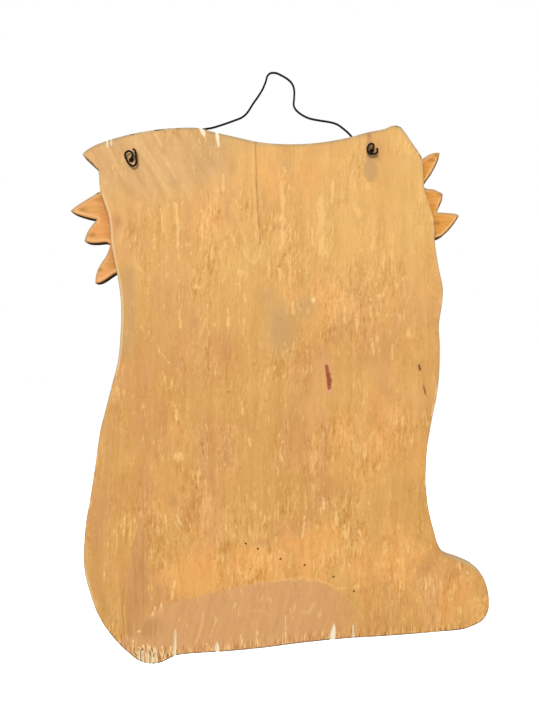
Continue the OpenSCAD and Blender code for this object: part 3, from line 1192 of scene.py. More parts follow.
    def _foot(self, g: Graph) -> None:
        """The duller foot below a curved border, with slanting strokes and a light rim that fades.

        Args:
            g: The graph.
        """
        arc = g.layer(Layer.ARC)
        present = g.axis("X").spread(-self.foot_fades[1], -self.foot_fades[0])
        g.lay(arc.rise(0.44, 0.56, 0.9) * present, self.veiled)
        strokes = g.noise((2.4, 2.4, 24), detail=3.0, lean=self.stroke_lean) - 0.5
        g.tone(strokes * arc.rise(0.4, 0.9, 2.4))
        border = abs(arc - 0.5).rise(0.42, 0.05, 1.5) * g.noise((5, 5, 5)).rise(0.38, 0.55)
        g.tone(border * present * g.axis("X").rise(30, -10))

    def _damage(self, g: Graph) -> None:
        """Scratches, splits, stains and torn places, with painted highlights in the curls, a painted shadow
        below a curl and painted shade on the torn walls.

        Args:
            g: The graph.
        """
        rough = g.noise((0.9, 0.9, 2.6), g.grain) - 0.5
        low = g.axis("Z").rise(self.fringe_z + 14, self.fringe_z)
        fringe = g.attribute("edge_gap").rise(9.0, 1.0) * low
        strands = g.noise((0.45, 0.45, 6), g.grain) - 0.5
        g.tone(fringe * strands * 22)
        # Scraped and bare places, and painted highlights in the curls.
        pale = g.layer(Layer.PALE)
        scraped = (pale * 1.15 + rough * 2.0).rise(0.22, 0.85, 0.85) * pale.rise(0.02, 0.25)
        g.lay(scraped, self.scraped)
        g.lay((pale + rough * 1.6).rise(0.70, 1.12, 0.80), self.bare)
        g.lay((pale + rough).rise(1.12, 1.42, 0.95), self.fresh)
        # Splits and dark marks, and a painted shadow below a curl.
        dark = g.layer(Layer.DARK)
        g.lay((dark + rough * 0.3).rise(0.18, 0.80, 0.9) * dark.rise(0.02, 0.2), self.split_and_shade)
        g.lay((dark + rough * 0.6).rise(0.80, 1.10, 0.9), self.charred_and_shade)
        red = g.layer(Layer.RED)
        g.lay((red + rough * 0.5).rise(0.05, 0.40, 0.6) * red.rise(0.0, 0.1), self.blush)
        g.lay((red + rough * 0.7).rise(0.42, 0.78, 0.95), self.stain)
        g.lay((red + rough * 0.8).rise(1.05, 1.5, 0.85), self.clotted)
        torn = g.layer(Layer.TORN)
        g.lay((torn + rough * 0.5).rise(0.35, 0.7) * torn.rise(0.02, 0.2), self.fresh)
        # Painted shade on the walls of torn places.
        shaded_wall = g.facing().rise(0.7, 0.3, 0.45)
        g.lay(shaded_wall * torn.rise(0.5, 0.8), self.split_and_shade)

    def _rim(self, g: Graph) -> None:
        """The edge: paint that ran round from the front, wood worn light with a painted highlight along the
        lit edge, and painted shade along the edges that face down.

        Args:
            g: The graph.
        """
        gap = g.attribute("edge_gap")
        patchy = g.noise((7, 7, 7))
        ragged = g.noise((1.2, 1.2, 1.2))
        outer = gap + (ragged - 0.5) * 0.9
        # Wood worn light at the edge, and a painted highlight along the lit edge.
        lit = g.layer(Layer.LIT_EDGE).rise(0.1, 0.4)
        light = outer.rise(2.0, 1.0, 0.6) * (lit | patchy.rise(0.54, 0.64, 0.7))
        g.lay(light, self.worn)
        dirty = outer.rise(0.9, 0.40, 0.60) * (patchy.rise(0.64, 0.48) | lit)
        g.lay(dirty, self.rim)
        facing_down = g.attribute("underside")
        dusty = outer.rise(2.6, 0.6, 0.45) * facing_down.rise(-0.3, -0.7)
        g.lay(dusty, self.rim)
        # Painted shade along the edges that face down, in patches.
        under = facing_down.rise(0.3, 0.7) * patchy.rise(0.36, 0.50)
        g.lay(outer.rise(1.0, 0.55, 0.85) * under, self.charred_and_shade)


@dataclass(frozen=True)
class PlyCore:
    """Sawn edge of plywood: layered plies, saw marks and paint that ran round from the front."""

    slot: str = "ply_core"
    long_grain: Colour = (0.60, 0.40, 0.19)
    end_grain: Colour = (0.38, 0.22, 0.095)
    glue: Colour = (0.16, 0.09, 0.04)
    fresh: Colour = (0.97, 0.80, 0.50)
    torn: Colour = (0.99, 0.80, 0.50)
    torn_light: Colour = (1.0, 0.93, 0.70)
    paint: Colour = (0.56, 0.45, 0.27)

    def material(self, node: str, name: str, painted: float) -> bpy.types.Material:
        """The finish as a material.

        Args:
            node: CAD node of the core.
            name: Name of the material.
            painted: How much of the edge the paint still covers, from 0 to 1.

        Returns:
            The material.
        """
        low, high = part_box(node)
        middle_y, half = (low.y + high.y) / 2, (high.y - low.y) / 2
        g = Graph.of_material(name)
        depth = (g.axis("Y") - middle_y / MM) / (half / MM)
        waver = (g.noise((9, 9, 9)) - 0.5) * 0.25
        layer = abs(depth + waver)
        end_grain = layer.rise(0.52, 0.44)
        saw = g.noise((0.35, 30, 0.35))
        cells = g.noise((0.5, 0.5, 0.5))
        g.colour = g.mix(end_grain, self.long_grain, self.end_grain)
        g.lay(abs(layer - 0.48).rise(0.09, 0.03, 0.8), self.glue)
        g.lay(abs(layer - 1.0).rise(0.08, 0.02, 0.7), self.glue)
        g.lay(saw.rise(0.55, 0.3, 0.45), self.end_grain)
        g.lay(cells.rise(0.5, 0.75, 0.35), self.fresh)
        lapped = (g.noise((7, 4, 7), detail=3.0, roughness=0.6) - 0.5) * 3.4
        cover = 2 * painted - 1 + lapped + (saw - 0.5) * 0.5 - depth * (1.1 - painted)
        g.lay(cover.rise(-0.12, 0.14, 0.92), self.paint)
        flat = g.facing().rise(0.7, 0.9)
        torn = g.noise((0.4, 0.4, 5))
        g.lay(flat, g.mix(torn.rise(0.35, 0.6), self.torn, self.torn_light))
        normal = g.bump(saw * 0.7 + cells * 0.3, 0.12)
        return g.finished(0.74 + saw * 0.2, Normal=normal, Specular_IOR_Level=0.0)


@dataclass(frozen=True)
class BoardPaint:
    """Cream milk paint with a border stripe and a painted vine, crazed, glazed and worn at the edges."""

    slot: str = "board_paint"
    cream: Colour = (0.81, 0.70, 0.48)
    aged: Colour = (0.72, 0.58, 0.355)
    glaze: Colour = (0.40, 0.25, 0.11)
    red: Colour = (0.33, 0.055, 0.030)
    scarlet: Colour = (0.52, 0.10, 0.045)
    green: Colour = (0.070, 0.130, 0.048)
    leaf: Colour = (0.165, 0.25, 0.085)
    midrib: Colour = (0.42, 0.46, 0.22)
    stem: Colour = (0.17, 0.10, 0.045)
    wood: Colour = (0.62, 0.39, 0.18)
    late_wood: Colour = (0.40, 0.23, 0.09)
    stripe_at: float = 10.0
    stripe_half: float = 2.4
    line_at: float = 15.0
    line_half: float = 0.55
    tone_step: Colour = (0.050, 0.045, 0.034)

    def material(self) -> bpy.types.Material:
        """The finish as a material.

        Returns:
            The material.
        """
        g = Graph.of_material(self.slot, self.tone_step)
        g.grain = g.wobbled((26, 70), (0.9, 2.0))
        bristle = g.noise((0.8, 0.8, 36), g.grain, detail=3.0, roughness=0.6)
        cloud = g.noise((30, 30, 42), detail=4.0, roughness=0.6)
        g.colour = g.mix(cloud.rise(0.42, 0.66, 0.6), self.cream, self.aged)
        g.tone((bristle - 0.5) * 2.6)
        self._pattern(g, bristle)
        edge = g.attribute("edge_gap")
        open_to = cloud.rise(0.42, 0.66, 0.085) + bristle * 0.03
        crazed = (open_to - g.cracked(g.grain, (4.0, 4.0, 8.0))).rise(0.0, 0.06)
        g.lay(crazed * 0.34, self.glaze)
        dirt = g.noise((9, 9, 12), detail=4.0, roughness=0.65)
        glazed = edge.rise(13.0, 0.5, 0.42) + g.attribute("hole_gap").rise(9.0, 0.5, 0.45)
        g.lay((glazed + (dirt - 0.5) * 0.5).rise(0.10, 0.75, 0.5), self.glaze)
        spatter = g.noise((0.75, 0.75, 0.75), detail=1.0).rise(0.765, 0.80, 0.8)
        g.lay(spatter, self.stem)
        ragged = (g.noise((4, 4, 6), detail=4.0, roughness=0.65) - 0.5) * 9
        worn = (edge + ragged).rise(2.8, 0.8)
        chipped = g.noise((5, 5, 13), detail=4.0, roughness=0.68).rise(0.69, 0.72)
        rubbed = (g.attribute("hole_gap") + ragged * 0.35).rise(1.8, 0.6)
        bare = worn | chipped | rubbed
        streaks = g.noise((1.2, 1.2, 22), g.grain, detail=3.0)
        timber = g.mix(streaks.rise(0.35, 0.65), self.wood, self.late_wood)
        g.lay(bare * 0.92, timber)
        check = g.noise((0.45, 0.45, 26), g.grain).rise(0.67, 0.76)
        g.lay(check * 0.45, self.late_wood)
        height = bristle * 0.35 - check * 0.5 - bare * 0.6 - crazed * 0.5
        roughness = 0.50 + cloud * 0.12 + bare * 0.18
        return g.finished(roughness, Normal=g.bump(height, 0.10))

    def _pattern(self, g: Graph, bristle: Signal) -> None:
        """The border stripe, the line inside it, and the vine with its leaves and berries.

        Args:
            g: The graph.
            bristle: Brush marks along the grain.
        """
        hand = (g.noise((14, 14, 14)) - 0.5) * 2.0
        tremble = (g.noise((1.3, 1.3, 1.3)) - 0.5) * 0.7
        gap = g.attribute("edge_gap") + hand + tremble
        thin = (bristle + (g.noise((7, 7, 10)) - 0.5) * 0.8).rise(0.50, 0.66, 0.45)
        cover = 0.96 - thin
        stripe = abs(gap - self.stripe_at).rise(self.stripe_half + 0.35, self.stripe_half - 0.35)
        g.lay(stripe * cover, self.red)
        line = abs(gap - self.line_at).rise(self.line_half + 0.3, self.line_half - 0.3)
        g.lay(line * cover, self.green)
        stem = (g.layer(Layer.STEM) + tremble * 0.12).rise(0.42, 0.58)
        g.lay(stem * cover, self.stem)
        leaf = g.layer(Layer.LEAF)
        shape = (leaf + tremble * 0.08).rise(0.03, 0.16)
        green = g.mix(g.layer(Layer.PALE).rise(0.05, 0.35), self.green, self.leaf)
        g.lay(shape * cover, green)
        g.lay((leaf + tremble * 0.05).rise(0.80, 0.93, 0.75) * cover, self.midrib)
        berry = g.layer(Layer.RED)
        g.lay((berry + tremble * 0.08).rise(0.40, 0.54) * cover, self.red)
        g.lay((berry + tremble * 0.2).rise(1.15, 1.55, 0.7), self.scarlet)


@dataclass(frozen=True)
class SprayBack:
    """Back of a leaf spray: level grain under an orange ochre stain, with painted shade beside the board and
    along the edges that face down.
    """

    slot: str = "spray_back"
    orange: Colour = (0.79, 0.338, 0.092)
    yellow: Colour = (0.73, 0.346, 0.092)
    glow: Colour = (0.78, 0.332, 0.058)
    pale: Colour = (0.86, 0.50, 0.20)
    rim: Colour = (0.45, 0.34, 0.19)
    paint: Colour = (0.060, 0.030, 0.010)
    smear: Colour = (0.46, 0.20, 0.035)
    tone_step: Colour = (0.078, 0.052, 0.027)

    def material(self) -> bpy.types.Material:
        """The finish as a material.

        Returns:
            The material.
        """
        g = Graph.of_material(self.slot, self.tone_step)
        g.grain = g.wobbled((50, 18), (1.2, 0.7))
        cloud = g.noise((17, 17, 10))
        streak = g.noise((24, 1.4, 1.4), g.grain, detail=3.0, roughness=0.6)
        fibre = g.noise((6, 0.6, 0.6), g.grain)
        g.colour = g.mix(cloud.rise(0.40, 0.62), self.orange, self.yellow)
        g.lay(g.axis("X").rise(20, -20, 0.85), self.glow)
        g.tone((streak - 0.5) * 3.4 + (fibre - 0.5) * 3.0)
        # Painted shade on the spray beside the board's edge, which stands over it.
        over = g.attribute("neighbour_gap")
        shade = over.rise(8.0, 0.0, -1.3) + over.rise(2.6, 0.2, -2.6)
        g.tone(shade)
        ragged = g.noise((1.2, 1.2, 1.2))
        outer = g.attribute("edge_gap") + (ragged - 0.5) * 0.7
        under = g.attribute("underside").rise(-0.05, 0.35)
        light = abs(outer - 1.7).rise(0.9, 0.3, 0.75)
        g.lay(light * (under | cloud.rise(0.42, 0.55, 0.6)), self.pale)
        g.lay(outer.rise(1.7, 0.5, 0.75) * (1 - under), self.rim)
        # Painted shade: a dark line along the edges that face down, for their dark walls in shade, wider on
        # the left spray.
        wider_shade = g.axis("X").rise(20, -20, 0.55) - 0.10
        g.lay((outer - wider_shade).rise(0.50, 0.15, 0.9) * under, self.paint)
        dark = g.layer(Layer.DARK)
        g.lay((dark + (ragged - 0.5) * 0.9).rise(0.15, 0.75, 0.8), self.smear)
        normal = g.bump(fibre * 0.6 + streak * 0.4, 0.05)
        return g.finished(0.56 + fibre * 0.18, Normal=normal, Specular_IOR_Level=0.3)


@dataclass(frozen=True)
class SprayPaint:
    """Front of a leaf spray: green milk paint with lighter veins, worn at the tips."""

    slot: str = "spray_paint"
    green: Colour = (0.075, 0.145, 0.048)
    light: Colour = (0.155, 0.245, 0.075)
    shadow: Colour = (0.028, 0.050, 0.018)
    vein: Colour = (0.34, 0.42, 0.17)
    wood: Colour = (0.60, 0.37, 0.17)
    late_wood: Colour = (0.40, 0.22, 0.085)

    def material(self) -> bpy.types.Material:
        """The finish as a material.

        Returns:
            The material.
        """
        g = Graph.of_material(self.slot)
        cloud = g.noise((16, 16, 12))
        brushed = g.noise((14, 0.9, 0.9), detail=3.0, roughness=0.6)
        tremble = (g.noise((1.2, 1.2, 1.2)) - 0.5) * 0.5
        vein = g.layer(Layer.VEIN)
        g.colour = g.mix(cloud.rise(0.36, 0.64), self.green, self.light)
        g.lay(brushed.rise(0.54, 0.3, 0.4), self.green)
        shaded = g.attribute("edge_gap") + (g.noise((6, 6, 6), detail=3.0) - 0.5) * 4
        g.lay(shaded.rise(5.5, 0.5, 0.6), self.shadow)
        g.lay(vein.rise(0.2, 1.0, 0.35), self.light)
        g.lay((vein + tremble * 0.2).rise(0.80, 0.92, 0.8), self.vein)
        ragged = (g.noise((3, 3, 3), detail=4.0, roughness=0.65) - 0.5) * 6
        edge = g.attribute("edge_gap") + ragged
        worn = edge.rise(0.9, -0.3)
        chipped = g.noise((8, 4, 4), detail=4.0, roughness=0.68).rise(0.69, 0.73)
        bare = worn | chipped
        grain = g.noise((22, 1.2, 1.2), detail=3.0)
        timber = g.mix(grain.rise(0.35, 0.65), self.wood, self.late_wood)
        g.lay(bare * 0.9, timber)
        height = brushed * 0.3 - bare * 0.6 + g.noise((5, 0.4, 0.4)) * 0.25
        return g.finished(0.46 + cloud * 0.14 + bare * 0.2, Normal=g.bump(height, 0.10))


@dataclass(frozen=True)
class BradSteel:
    """Dull steel with a little rust."""

    slot: str = "brad_steel"
    steel: Colour = (0.20, 0.155, 0.105)
    rust: Colour = (0.150, 0.062, 0.020)
    stained: Colour = (0.34, 0.160, 0.034)
    dark_stained: Colour = (0.19, 0.080, 0.018)
    back_y: Spot = (6.8, 7.4)

    def material(self) -> bpy.types.Material:
        """The finish as a material; the points on the back are stained with the veneer.

        Returns:
            The material.
        """
        g = Graph.of_material(self.slot)
        patchy = g.noise((0.9, 0.9, 0.9), detail=3.0, roughness=0.65)
        fine = g.noise((0.15, 0.15, 0.15))
        rusty = (patchy + fine * 0.2).rise(0.54, 0.70)
        point = g.axis("Y").rise(*self.back_y)
        stained = g.mix(patchy.rise(0.40, 0.60), self.stained, self.dark_stained)
        g.colour = g.mix(point, g.mix(rusty, self.steel, self.rust), stained)
        metallic = (1 - rusty) * (1 - point) * 0.6
        roughness = 0.45 + (rusty | point) * 0.4
        normal = g.bump(patchy, 0.04)
        return g.finished(roughness, Metallic=metallic, Normal=normal, Specular_IOR_Level=0.2)


@dataclass(frozen=True)
class HangerSteel:
    """Black annealed wire with a dull scale, rubbed bright in places."""

    slot: str = "hanger_steel"
    scale: Colour = (0.006, 0.0045, 0.0040)
    rubbed: Colour = (0.028, 0.022, 0.019)
    rust: Colour = (0.022, 0.012, 0.008)

    def material(self) -> bpy.types.Material:
        """The finish as a material.

        Returns:
            The material.
        """
        g = Graph.of_material(self.slot)
        patchy = g.noise((2.6, 2.6, 2.6), detail=3.0, roughness=0.6)
        fine = g.noise((0.3, 0.3, 0.3))
        bright = (patchy + (fine - 0.5) * 0.4).rise(0.60, 0.72)
        rusty = g.noise((6, 6, 6), detail=3.0).rise(0.58, 0.7, 0.6)
        g.colour = g.mix(rusty, g.mix(bright, self.scale, self.rubbed), self.rust)
        roughness = 0.52 - bright * 0.14 + rusty * 0.2
        normal = g.bump(fine, 0.03)
        return g.finished(roughness, Metallic=bright * 0.3, Normal=normal, Specular_IOR_Level=0.10)


# Sub-assemblies

def dress(piece: bpy.types.Object, material: bpy.types.Material) -> None:
    """Gives a piece one material."""
    piece.data.materials.clear()
    piece.data.materials.append(material)


def worn_edge(piece: bpy.types.Object, width: float) -> None:
    """Rounds a CAD piece's sharp edges with a modifier.

    Args:
        piece: The piece.
        width: Width of the rounding.
    """
    segments, sharp_from = 2, 40
    weld = piece.modifiers.new("weld", "WELD")
    weld.merge_threshold = WELD
    bevel = piece.modifiers.new("worn", "BEVEL")
    bevel.width = width
    bevel.segments = segments
    bevel.limit_method = "ANGLE"
    bevel.angle_limit = math.radians(sharp_from)


@dataclass(frozen=True)
class Vine:
    """A painted vine over the bow of the brads: a stem, leaves to both sides and berries.

    Lengths are in mm, turns in degrees from the stem, and places across and up from the nail as seen from
    the front. A leaf's reach is for the middle of the stem: a whole stem's length away from there would
    take the taper off it. Its half width is a share of its reach.
    """

    start: tuple[Spot, ...] = ((89, -316), (79, -306.5), (62, -297), (44, -292.5), (30, -293))
    end: tuple[Spot, ...] = ((-57, -332),)
    leaves: int = 16
    leaf_turn: float = 50.0
    leaf_reach: float = 19.0
    leaf_taper: float = 8.0
    leaf_width: float = 0.23
    stalk: float = 2.5
    stalk_reach: float = 1.3
    berry_turn: float = 65.0
    berry_reach: float = 9.0
    berry_size: Spot = (3.1, 3.1)
    berry_strength: float = 2.0
    berry_stalk_reach: float = 1.1
    bunch: tuple[Spot, ...] = ((0, 0), (4.4, 1.2), (1.2, -4.4))
    stem_reach: float = 2.2

    def marks(self, bow: tuple[Spot, ...]) -> Marks:
        """The vine's strokes.

        Args:
            bow: Places of the brads under it.

        Returns:
            The marks by layer.
        """
        stem_line = self.start + bow + self.end
        leaves, halves, stalks, berries = [], [], [], []
        for n in range(self.leaves):
            share = (n + 0.5) / self.leaves
            spot, way = self._along(stem_line, share)
            side = 1 if n % 2 else -1
            heading = math.atan2(way[1], way[0])
            turn = heading + side * math.radians(self.leaf_turn)
            reach = self.leaf_reach - self.leaf_taper * abs(share - 0.5)
            stalk, tip = self._off(spot, self.stalk, turn), self._off(spot, reach, turn)
            leaves.append(Leaflet(stalk, tip, self.leaf_width * reach))
            halves.append(Leaflet(stalk, tip, self.leaf_width * reach, 1))
            stalks.append(Streak((spot, stalk), self.stalk_reach))
            if n % 3 == 1:
                hang = self._off(spot, self.berry_reach, heading - side * math.radians(self.berry_turn))
                stalks.append(Streak((spot, hang), self.berry_stalk_reach))
                places = [(hang[0] + x, hang[1] + z) for x, z in self.bunch]
                berries += [Blot(place, self.berry_size, self.berry_strength) for place in places]
        return {
            Layer.STEM: [Streak(stem_line, self.stem_reach)] + stalks,
            Layer.LEAF: leaves,
            Layer.PALE: halves,
            Layer.RED: berries,
        }

    @staticmethod
    def _off(spot: Spot, reach: float, turn: float) -> Spot:
        """The place at a reach from a spot, in the direction of a turn in radians."""
        return spot[0] + reach * math.cos(turn), spot[1] + reach * math.sin(turn)

    @staticmethod
    def _along(line: tuple[Spot, ...], share: float) -> tuple[Spot, Spot]:
        """A place on a line and the way it runs there.

        Args:
            line: The line's spots.
            share: How far along, from 0 to 1.

        Returns:
            The place and the direction.
        """
        points = np.array(line, float)
        lengths = np.linalg.norm(np.diff(points, axis=0), axis=1)
        reached = np.concatenate([[0], np.cumsum(lengths)])
        at = share * reached[-1]
        part = min(int(np.searchsorted(reached, at, side="right")) - 1, len(lengths) - 1)
        way = (points[part + 1] - points[part]) / lengths[part]
        spot = points[part] + way * (at - reached[part])
        return tuple(spot), tuple(way)


@dataclass
class Board:
    """The sign board: a core between a bare back veneer and a painted front veneer.

    The marks on the back are across and up from the nail, in mm, as seen from the back.
    """

    back_spacing: float = 0.75 * MM
    front_spacing: float = 0.8 * MM
    brad_bow: tuple[Spot, ...] = (
        (17, -295.7), (9.5, -298.9), (-4.5, -305.2), (-19.5, -309), (-37.5, -316.2), (-50, -325.2),
    )
    vine: Vine = Vine()
    painted_edge: float = 0.30

    def back_marks(self) -> Marks:
        """Everything that time has left on the back, and the painted light, shade and highlights laid among
        it.

        Returns:
            The marks by layer.
        """
        diagonal = streaks(
            (3.4, 0.46, (-85, -47), (-75, -62), (-64, -80)), (2.2, 0.38, (-82.5, -46.5), (-66, -70)),
            (2.2, 0.70, (-73.5, -41), (-69.5, -49)), (2.3, 0.48, (-67, -55.5), (-60.5, -69)),
            (2.2, 0.44, (-101, -52), (-97, -62)), (2, 0.38, (-60, -50), (-55, -64)),
            (1.8, 0.34, (-51.5, -51.5), (-48, -69)), (1.8, 0.30, (-92, -57), (-78, -82)),
        )
        seam_light = streaks(
            (2, 0.56, (-13, -48.5), (-12.4, -71.5), (-10.8, -96), (-9.4, -108)),
            (2, 0.58, (-25, -87.5), (-21, -97), (-15.5, -114)),
            (2.2, 0.62, (-19, -112), (-15.5, -119.5), (-11.5, -121.8), (-8.4, -116), (-7, -108)),
            (2, 0.42, (-31, -96), (-26, -104)),
            (1.6, 0.56, (4, -318), (16.5, -316.6), (29, -318.4), (36.5, -321.4)),
            (1.8, 0.6, (-43.5, -337.5), (-44, -345.5), (-48, -357.5)), (1.6, 0.5, (-35, -342), (-39.5, -354)),
            (1.6, 0.6, (17.5, -338), (22, -338.4), (25, -333)),
            (1.5, 0.4, (-13, -337), (-6, -337.5), (-3, -340)),
        ) + blots(
            (86, -47, 24, 14, 0.28), (0, -306, 46, 12, 0.24),
        )
        pale_spots = streaks(
            (1.1, 0.55, (-72, -173), (-70, -177.5), (-66.5, -181), (-64, -184.5)),
            (1, 1, (31, -267), (31.5, -274)), (1, 1, (39, -276), (39, -283.5)),
            (1, 0.9, (19.5, -279), (18, -292)), (0.9, 1, (44, -284), (44.5, -290)),
            (1, 0.8, (53, -287), (56, -296)), (0.9, 0.6, (-50.4, -250.5), (-49.7, -255.5)),
            (0.9, 0.7, (-46.9, -254.5), (-46.6, -260.5)), (0.8, 1, (-42.5, -256), (-42.3, -259)),
            (0.9, 1, (-67, -278.5), (-67, -282.5)), (0.9, 0.9, (-60, -278), (-57, -284)),
            (0.9, 0.9, (-92, -278), (-92.5, -290.5)), (0.9, 1, (-102.5, -295), (-103, -298.5)),
            (0.9, 0.9, (-104.5, -308), (-105, -318)), (1.2, 0.9, (-61, -318), (-63, -330)),
            (1, 1, (-73, -335), (-75.5, -341)), (0.9, 1, (-69, -331), (-70, -337)),
            (1, 0.8, (94.5, -317), (94.8, -324)), (0.9, 0.8, (99.4, -318), (99.6, -327)),
            (1.2, 0.7, (115.6, -308), (116, -313)), (1.2, 0.55, (120.4, -313), (120.8, -319)),
            (0.8, 0.8, (7.5, -340), (7.5, -357)), (0.8, 1, (-20.5, -352), (-19, -359)),
            (0.8, 0.9, (-10, -350), (-10, -359)), (0.9, 0.7, (-23, -332), (-25.5, -338)),
            (0.9, 0.7, (-34, -360), (-38, -362), (-42, -357)),
            (0.8, 0.9, (3, -300.6), (5.5, -300.4), (7.2, -302)),
        ) + blots(
            (24.7, -144.7, 2.2, 3), (76, -135.5, 2.6, 3.4, 0.8), (60.6, -144, 1.6, 2, 0.9),
            (-58, -240.5, 2, 2.2, 0.6), (-59.5, -244.5, 1.4, 1.8, 0.6), (-84, -350, 3.2, 1.4),
            # These three blots, in the curls, are painted highlights.
            (-88.6, -53.4, 1.7, 2.2, 1.5), (-86.8, -60.8, 1.2, 1.7, 1.3), (61.2, -52.2, 1.4, 1.5, 0.9),
        ) + self.slivers((-87, -361), (-61, -366), 23, 9.0, 1.55)
        golden = streaks(
            (2.6, 0.9, (-60.5, -85), (-59.5, -100), (-59, -119)), (1.8, 0.9, (-31, -67), (-31, -76)),
            (1.6, 0.9, (-44.5, -89), (-44, -106)), (2.6, 0.9, (5.5, -71), (6, -90), (5.5, -110)),
            (2, 0.9, (36.7, -71), (36.5, -83)), (5, 1, (28.5, -84), (29.5, -99), (31, -115)),
            (1.3, 1, (68.6, -114), (68.6, -125)), (1.5, 1, (60, -148), (60, -155)),
            (2.2, 0.75, (40, -323.4), (54, -322.4)),
        ) + blots(
            (-47.5, -136.7, 3.4, 3.4), (52.3, -89.3, 3.6, 6), (59, -74.5, 3, 3.6), (73.6, -116.8, 3.6, 6),
            (66, -142, 4.4, 2.2), (70.5, -154, 2, 2.4), (83.8, -165.4, 2.6, 4.8),
            (-39, -321, 22, 12, 0.35, -14), (52.5, -323, 5, 4, 0.8), (115, -337, 5, 5, 0.6),
            (128, -337, 14, 18, 0.5), (4, -113, 4, 3, 0.7), (-68, -101, 3.2, 6, 0.75),
            (-53, -110, 4, 2.8, 0.85), (-66.5, -130, 2.2, 6, 0.75), (-26, -125, 2.4, 5, 0.75),
            (-22, -134, 3, 3, 0.7), (-17.5, -144, 2.4, 4.4, 0.95), (18, -190, 4, 6, 0.75),
            (-59, -241.5, 6, 5, 1), (-47, -252, 4, 4, 0.7), (-60, -98, 7, 9, 0.42), (-48, -128, 10, 8, 0.36),
            (-33, -200.4, 3, 2.6, 0.7), (68, -302, 4, 3, 0.8), (77, -306, 5, 2.6, 0.8),
            (84, -298, 2.4, 4, 0.7), (88, -312, 2.2, 5, 0.7), (64, -308, 4, 2.2, 0.8),
            (107.5, -306.5, 2.4, 3, 0.9), (100, -331, 3, 6, 0.8), (110, -330, 2.6, 5, 0.7),
        ) + [
            Streak(((across, up), (across + 0.2, up - run)), 1.9, 0.85)
            for across, up, run in (
                (10.4, -98, 10), (-2.7, -120, 11), (24, -101, 11), (4, -126, 7), (-28, -150, 13),
                (-57.8, -151, 10), (61.8, -169, 9), (73.6, -172, 9), (-19.4, -208, 7), (-74, -104, 8),
                (38, -130, 9), (49, -118, 8), (44, -150, 8), (-38, -112, 7), (12, -146, 7),
                (-60, -213, 5), (-14.4, -231, 4), (52, -152, 8),
            )
        ]
        flecks = blots(
            (-30, -110, 50, 55, 0.7), (10, -110, 60, 60, 0.5), (60, -140, 40, 60, 0.6),
            (-60, -200, 30, 60, 0.4), (0, -200, 50, 50, 0.35), (40, -290, 45, 40, 0.9),
            (-10, -290, 60, 45, 0.8), (-75, -290, 30, 50, 0.9), (-15, -311, 14, 14, 1.4),
            (95, -325, 36, 26, 0.8), (76, -303, 28, 22, 0.9), (-55, -250, 40, 30, 0.5),
            (55, -240, 60, 50, 0.4),
        )
        arc = Area(
            (
                (-130, -380), (-92, -353), (-79, -340.5), (-70, -335.5), (-59, -331), (-46.5, -328.5),
                (-32.5, -325), (-20.5, -322.2), (-9, -319.8), (4, -318.6), (16.5, -318.4), (29, -319.6),
                (36, -322), (43, -326.5), (50, -333.5), (57, -343), (62, -354), (66, -380),
            ),
            1.2,
        )
        # Darker brown places: the wedge of figure, streaks and stains. The streaks along the left edge are
        # painted shade, and the blots at 60.4 and 65 across are a painted shadow below the curl.
        shade = streaks(
            (9, 0.42, (-88, -126), (-87, -162)), (3, 0.85, (59.4, -39), (59.8, -49)),
            (1.5, 0.42, (57, -60.5), (56.6, -66), (58.8, -70.4)), (1.5, 0.5, (58.8, -70.4), (62.8, -70.2)),
            (5, 0.45, (68, -330), (68, -356)), (3.4, 0.46, (99, -312), (100.4, -322), (102.4, -336)),
            (3, 0.4, (-102, -296), (-101, -312), (-100, -328)),
            (11, 0.42, (-99, -212), (-103, -250), (-108, -285), (-110, -318), (-100, -342)),
        ) + blots(
            (-105, -312, 8, 24, 0.36), (95, -311, 20, 7, 0.42), (-6, -295, 15, 9, 0.55),
            (-97, -96, 9, 13, 0.62), (-62, -269, 11, 13, 0.55), (-49, -158, 13, 13, 0.48),
            (-49, -224, 11, 16, 0.42), (-62, -318, 12, 12, 0.36), (60.4, -56, 7, 8.5, 0.40),
            (65, -57, 7, 4.6, 0.42, 24), (-76, -348.5, 18, 12, 0.8, -14), (-76, -282, 20, 42, 0.38),
        ) + [
            Area(
                (
                    (-83.2, -277), (-85.0, -288), (-87.8, -298.4), (-89.7, -310.8), (-90.8, -325.6),
                    (-92.0, -340.5), (-91.4, -350), (-89, -355), (-84, -350), (-80, -343), (-78.3, -335),
                    (-77.6, -325.6), (-77.4, -309.5), (-78.7, -293.4), (-81, -279.8),
                ),
                1.1, 0.66,
            ),
        ]
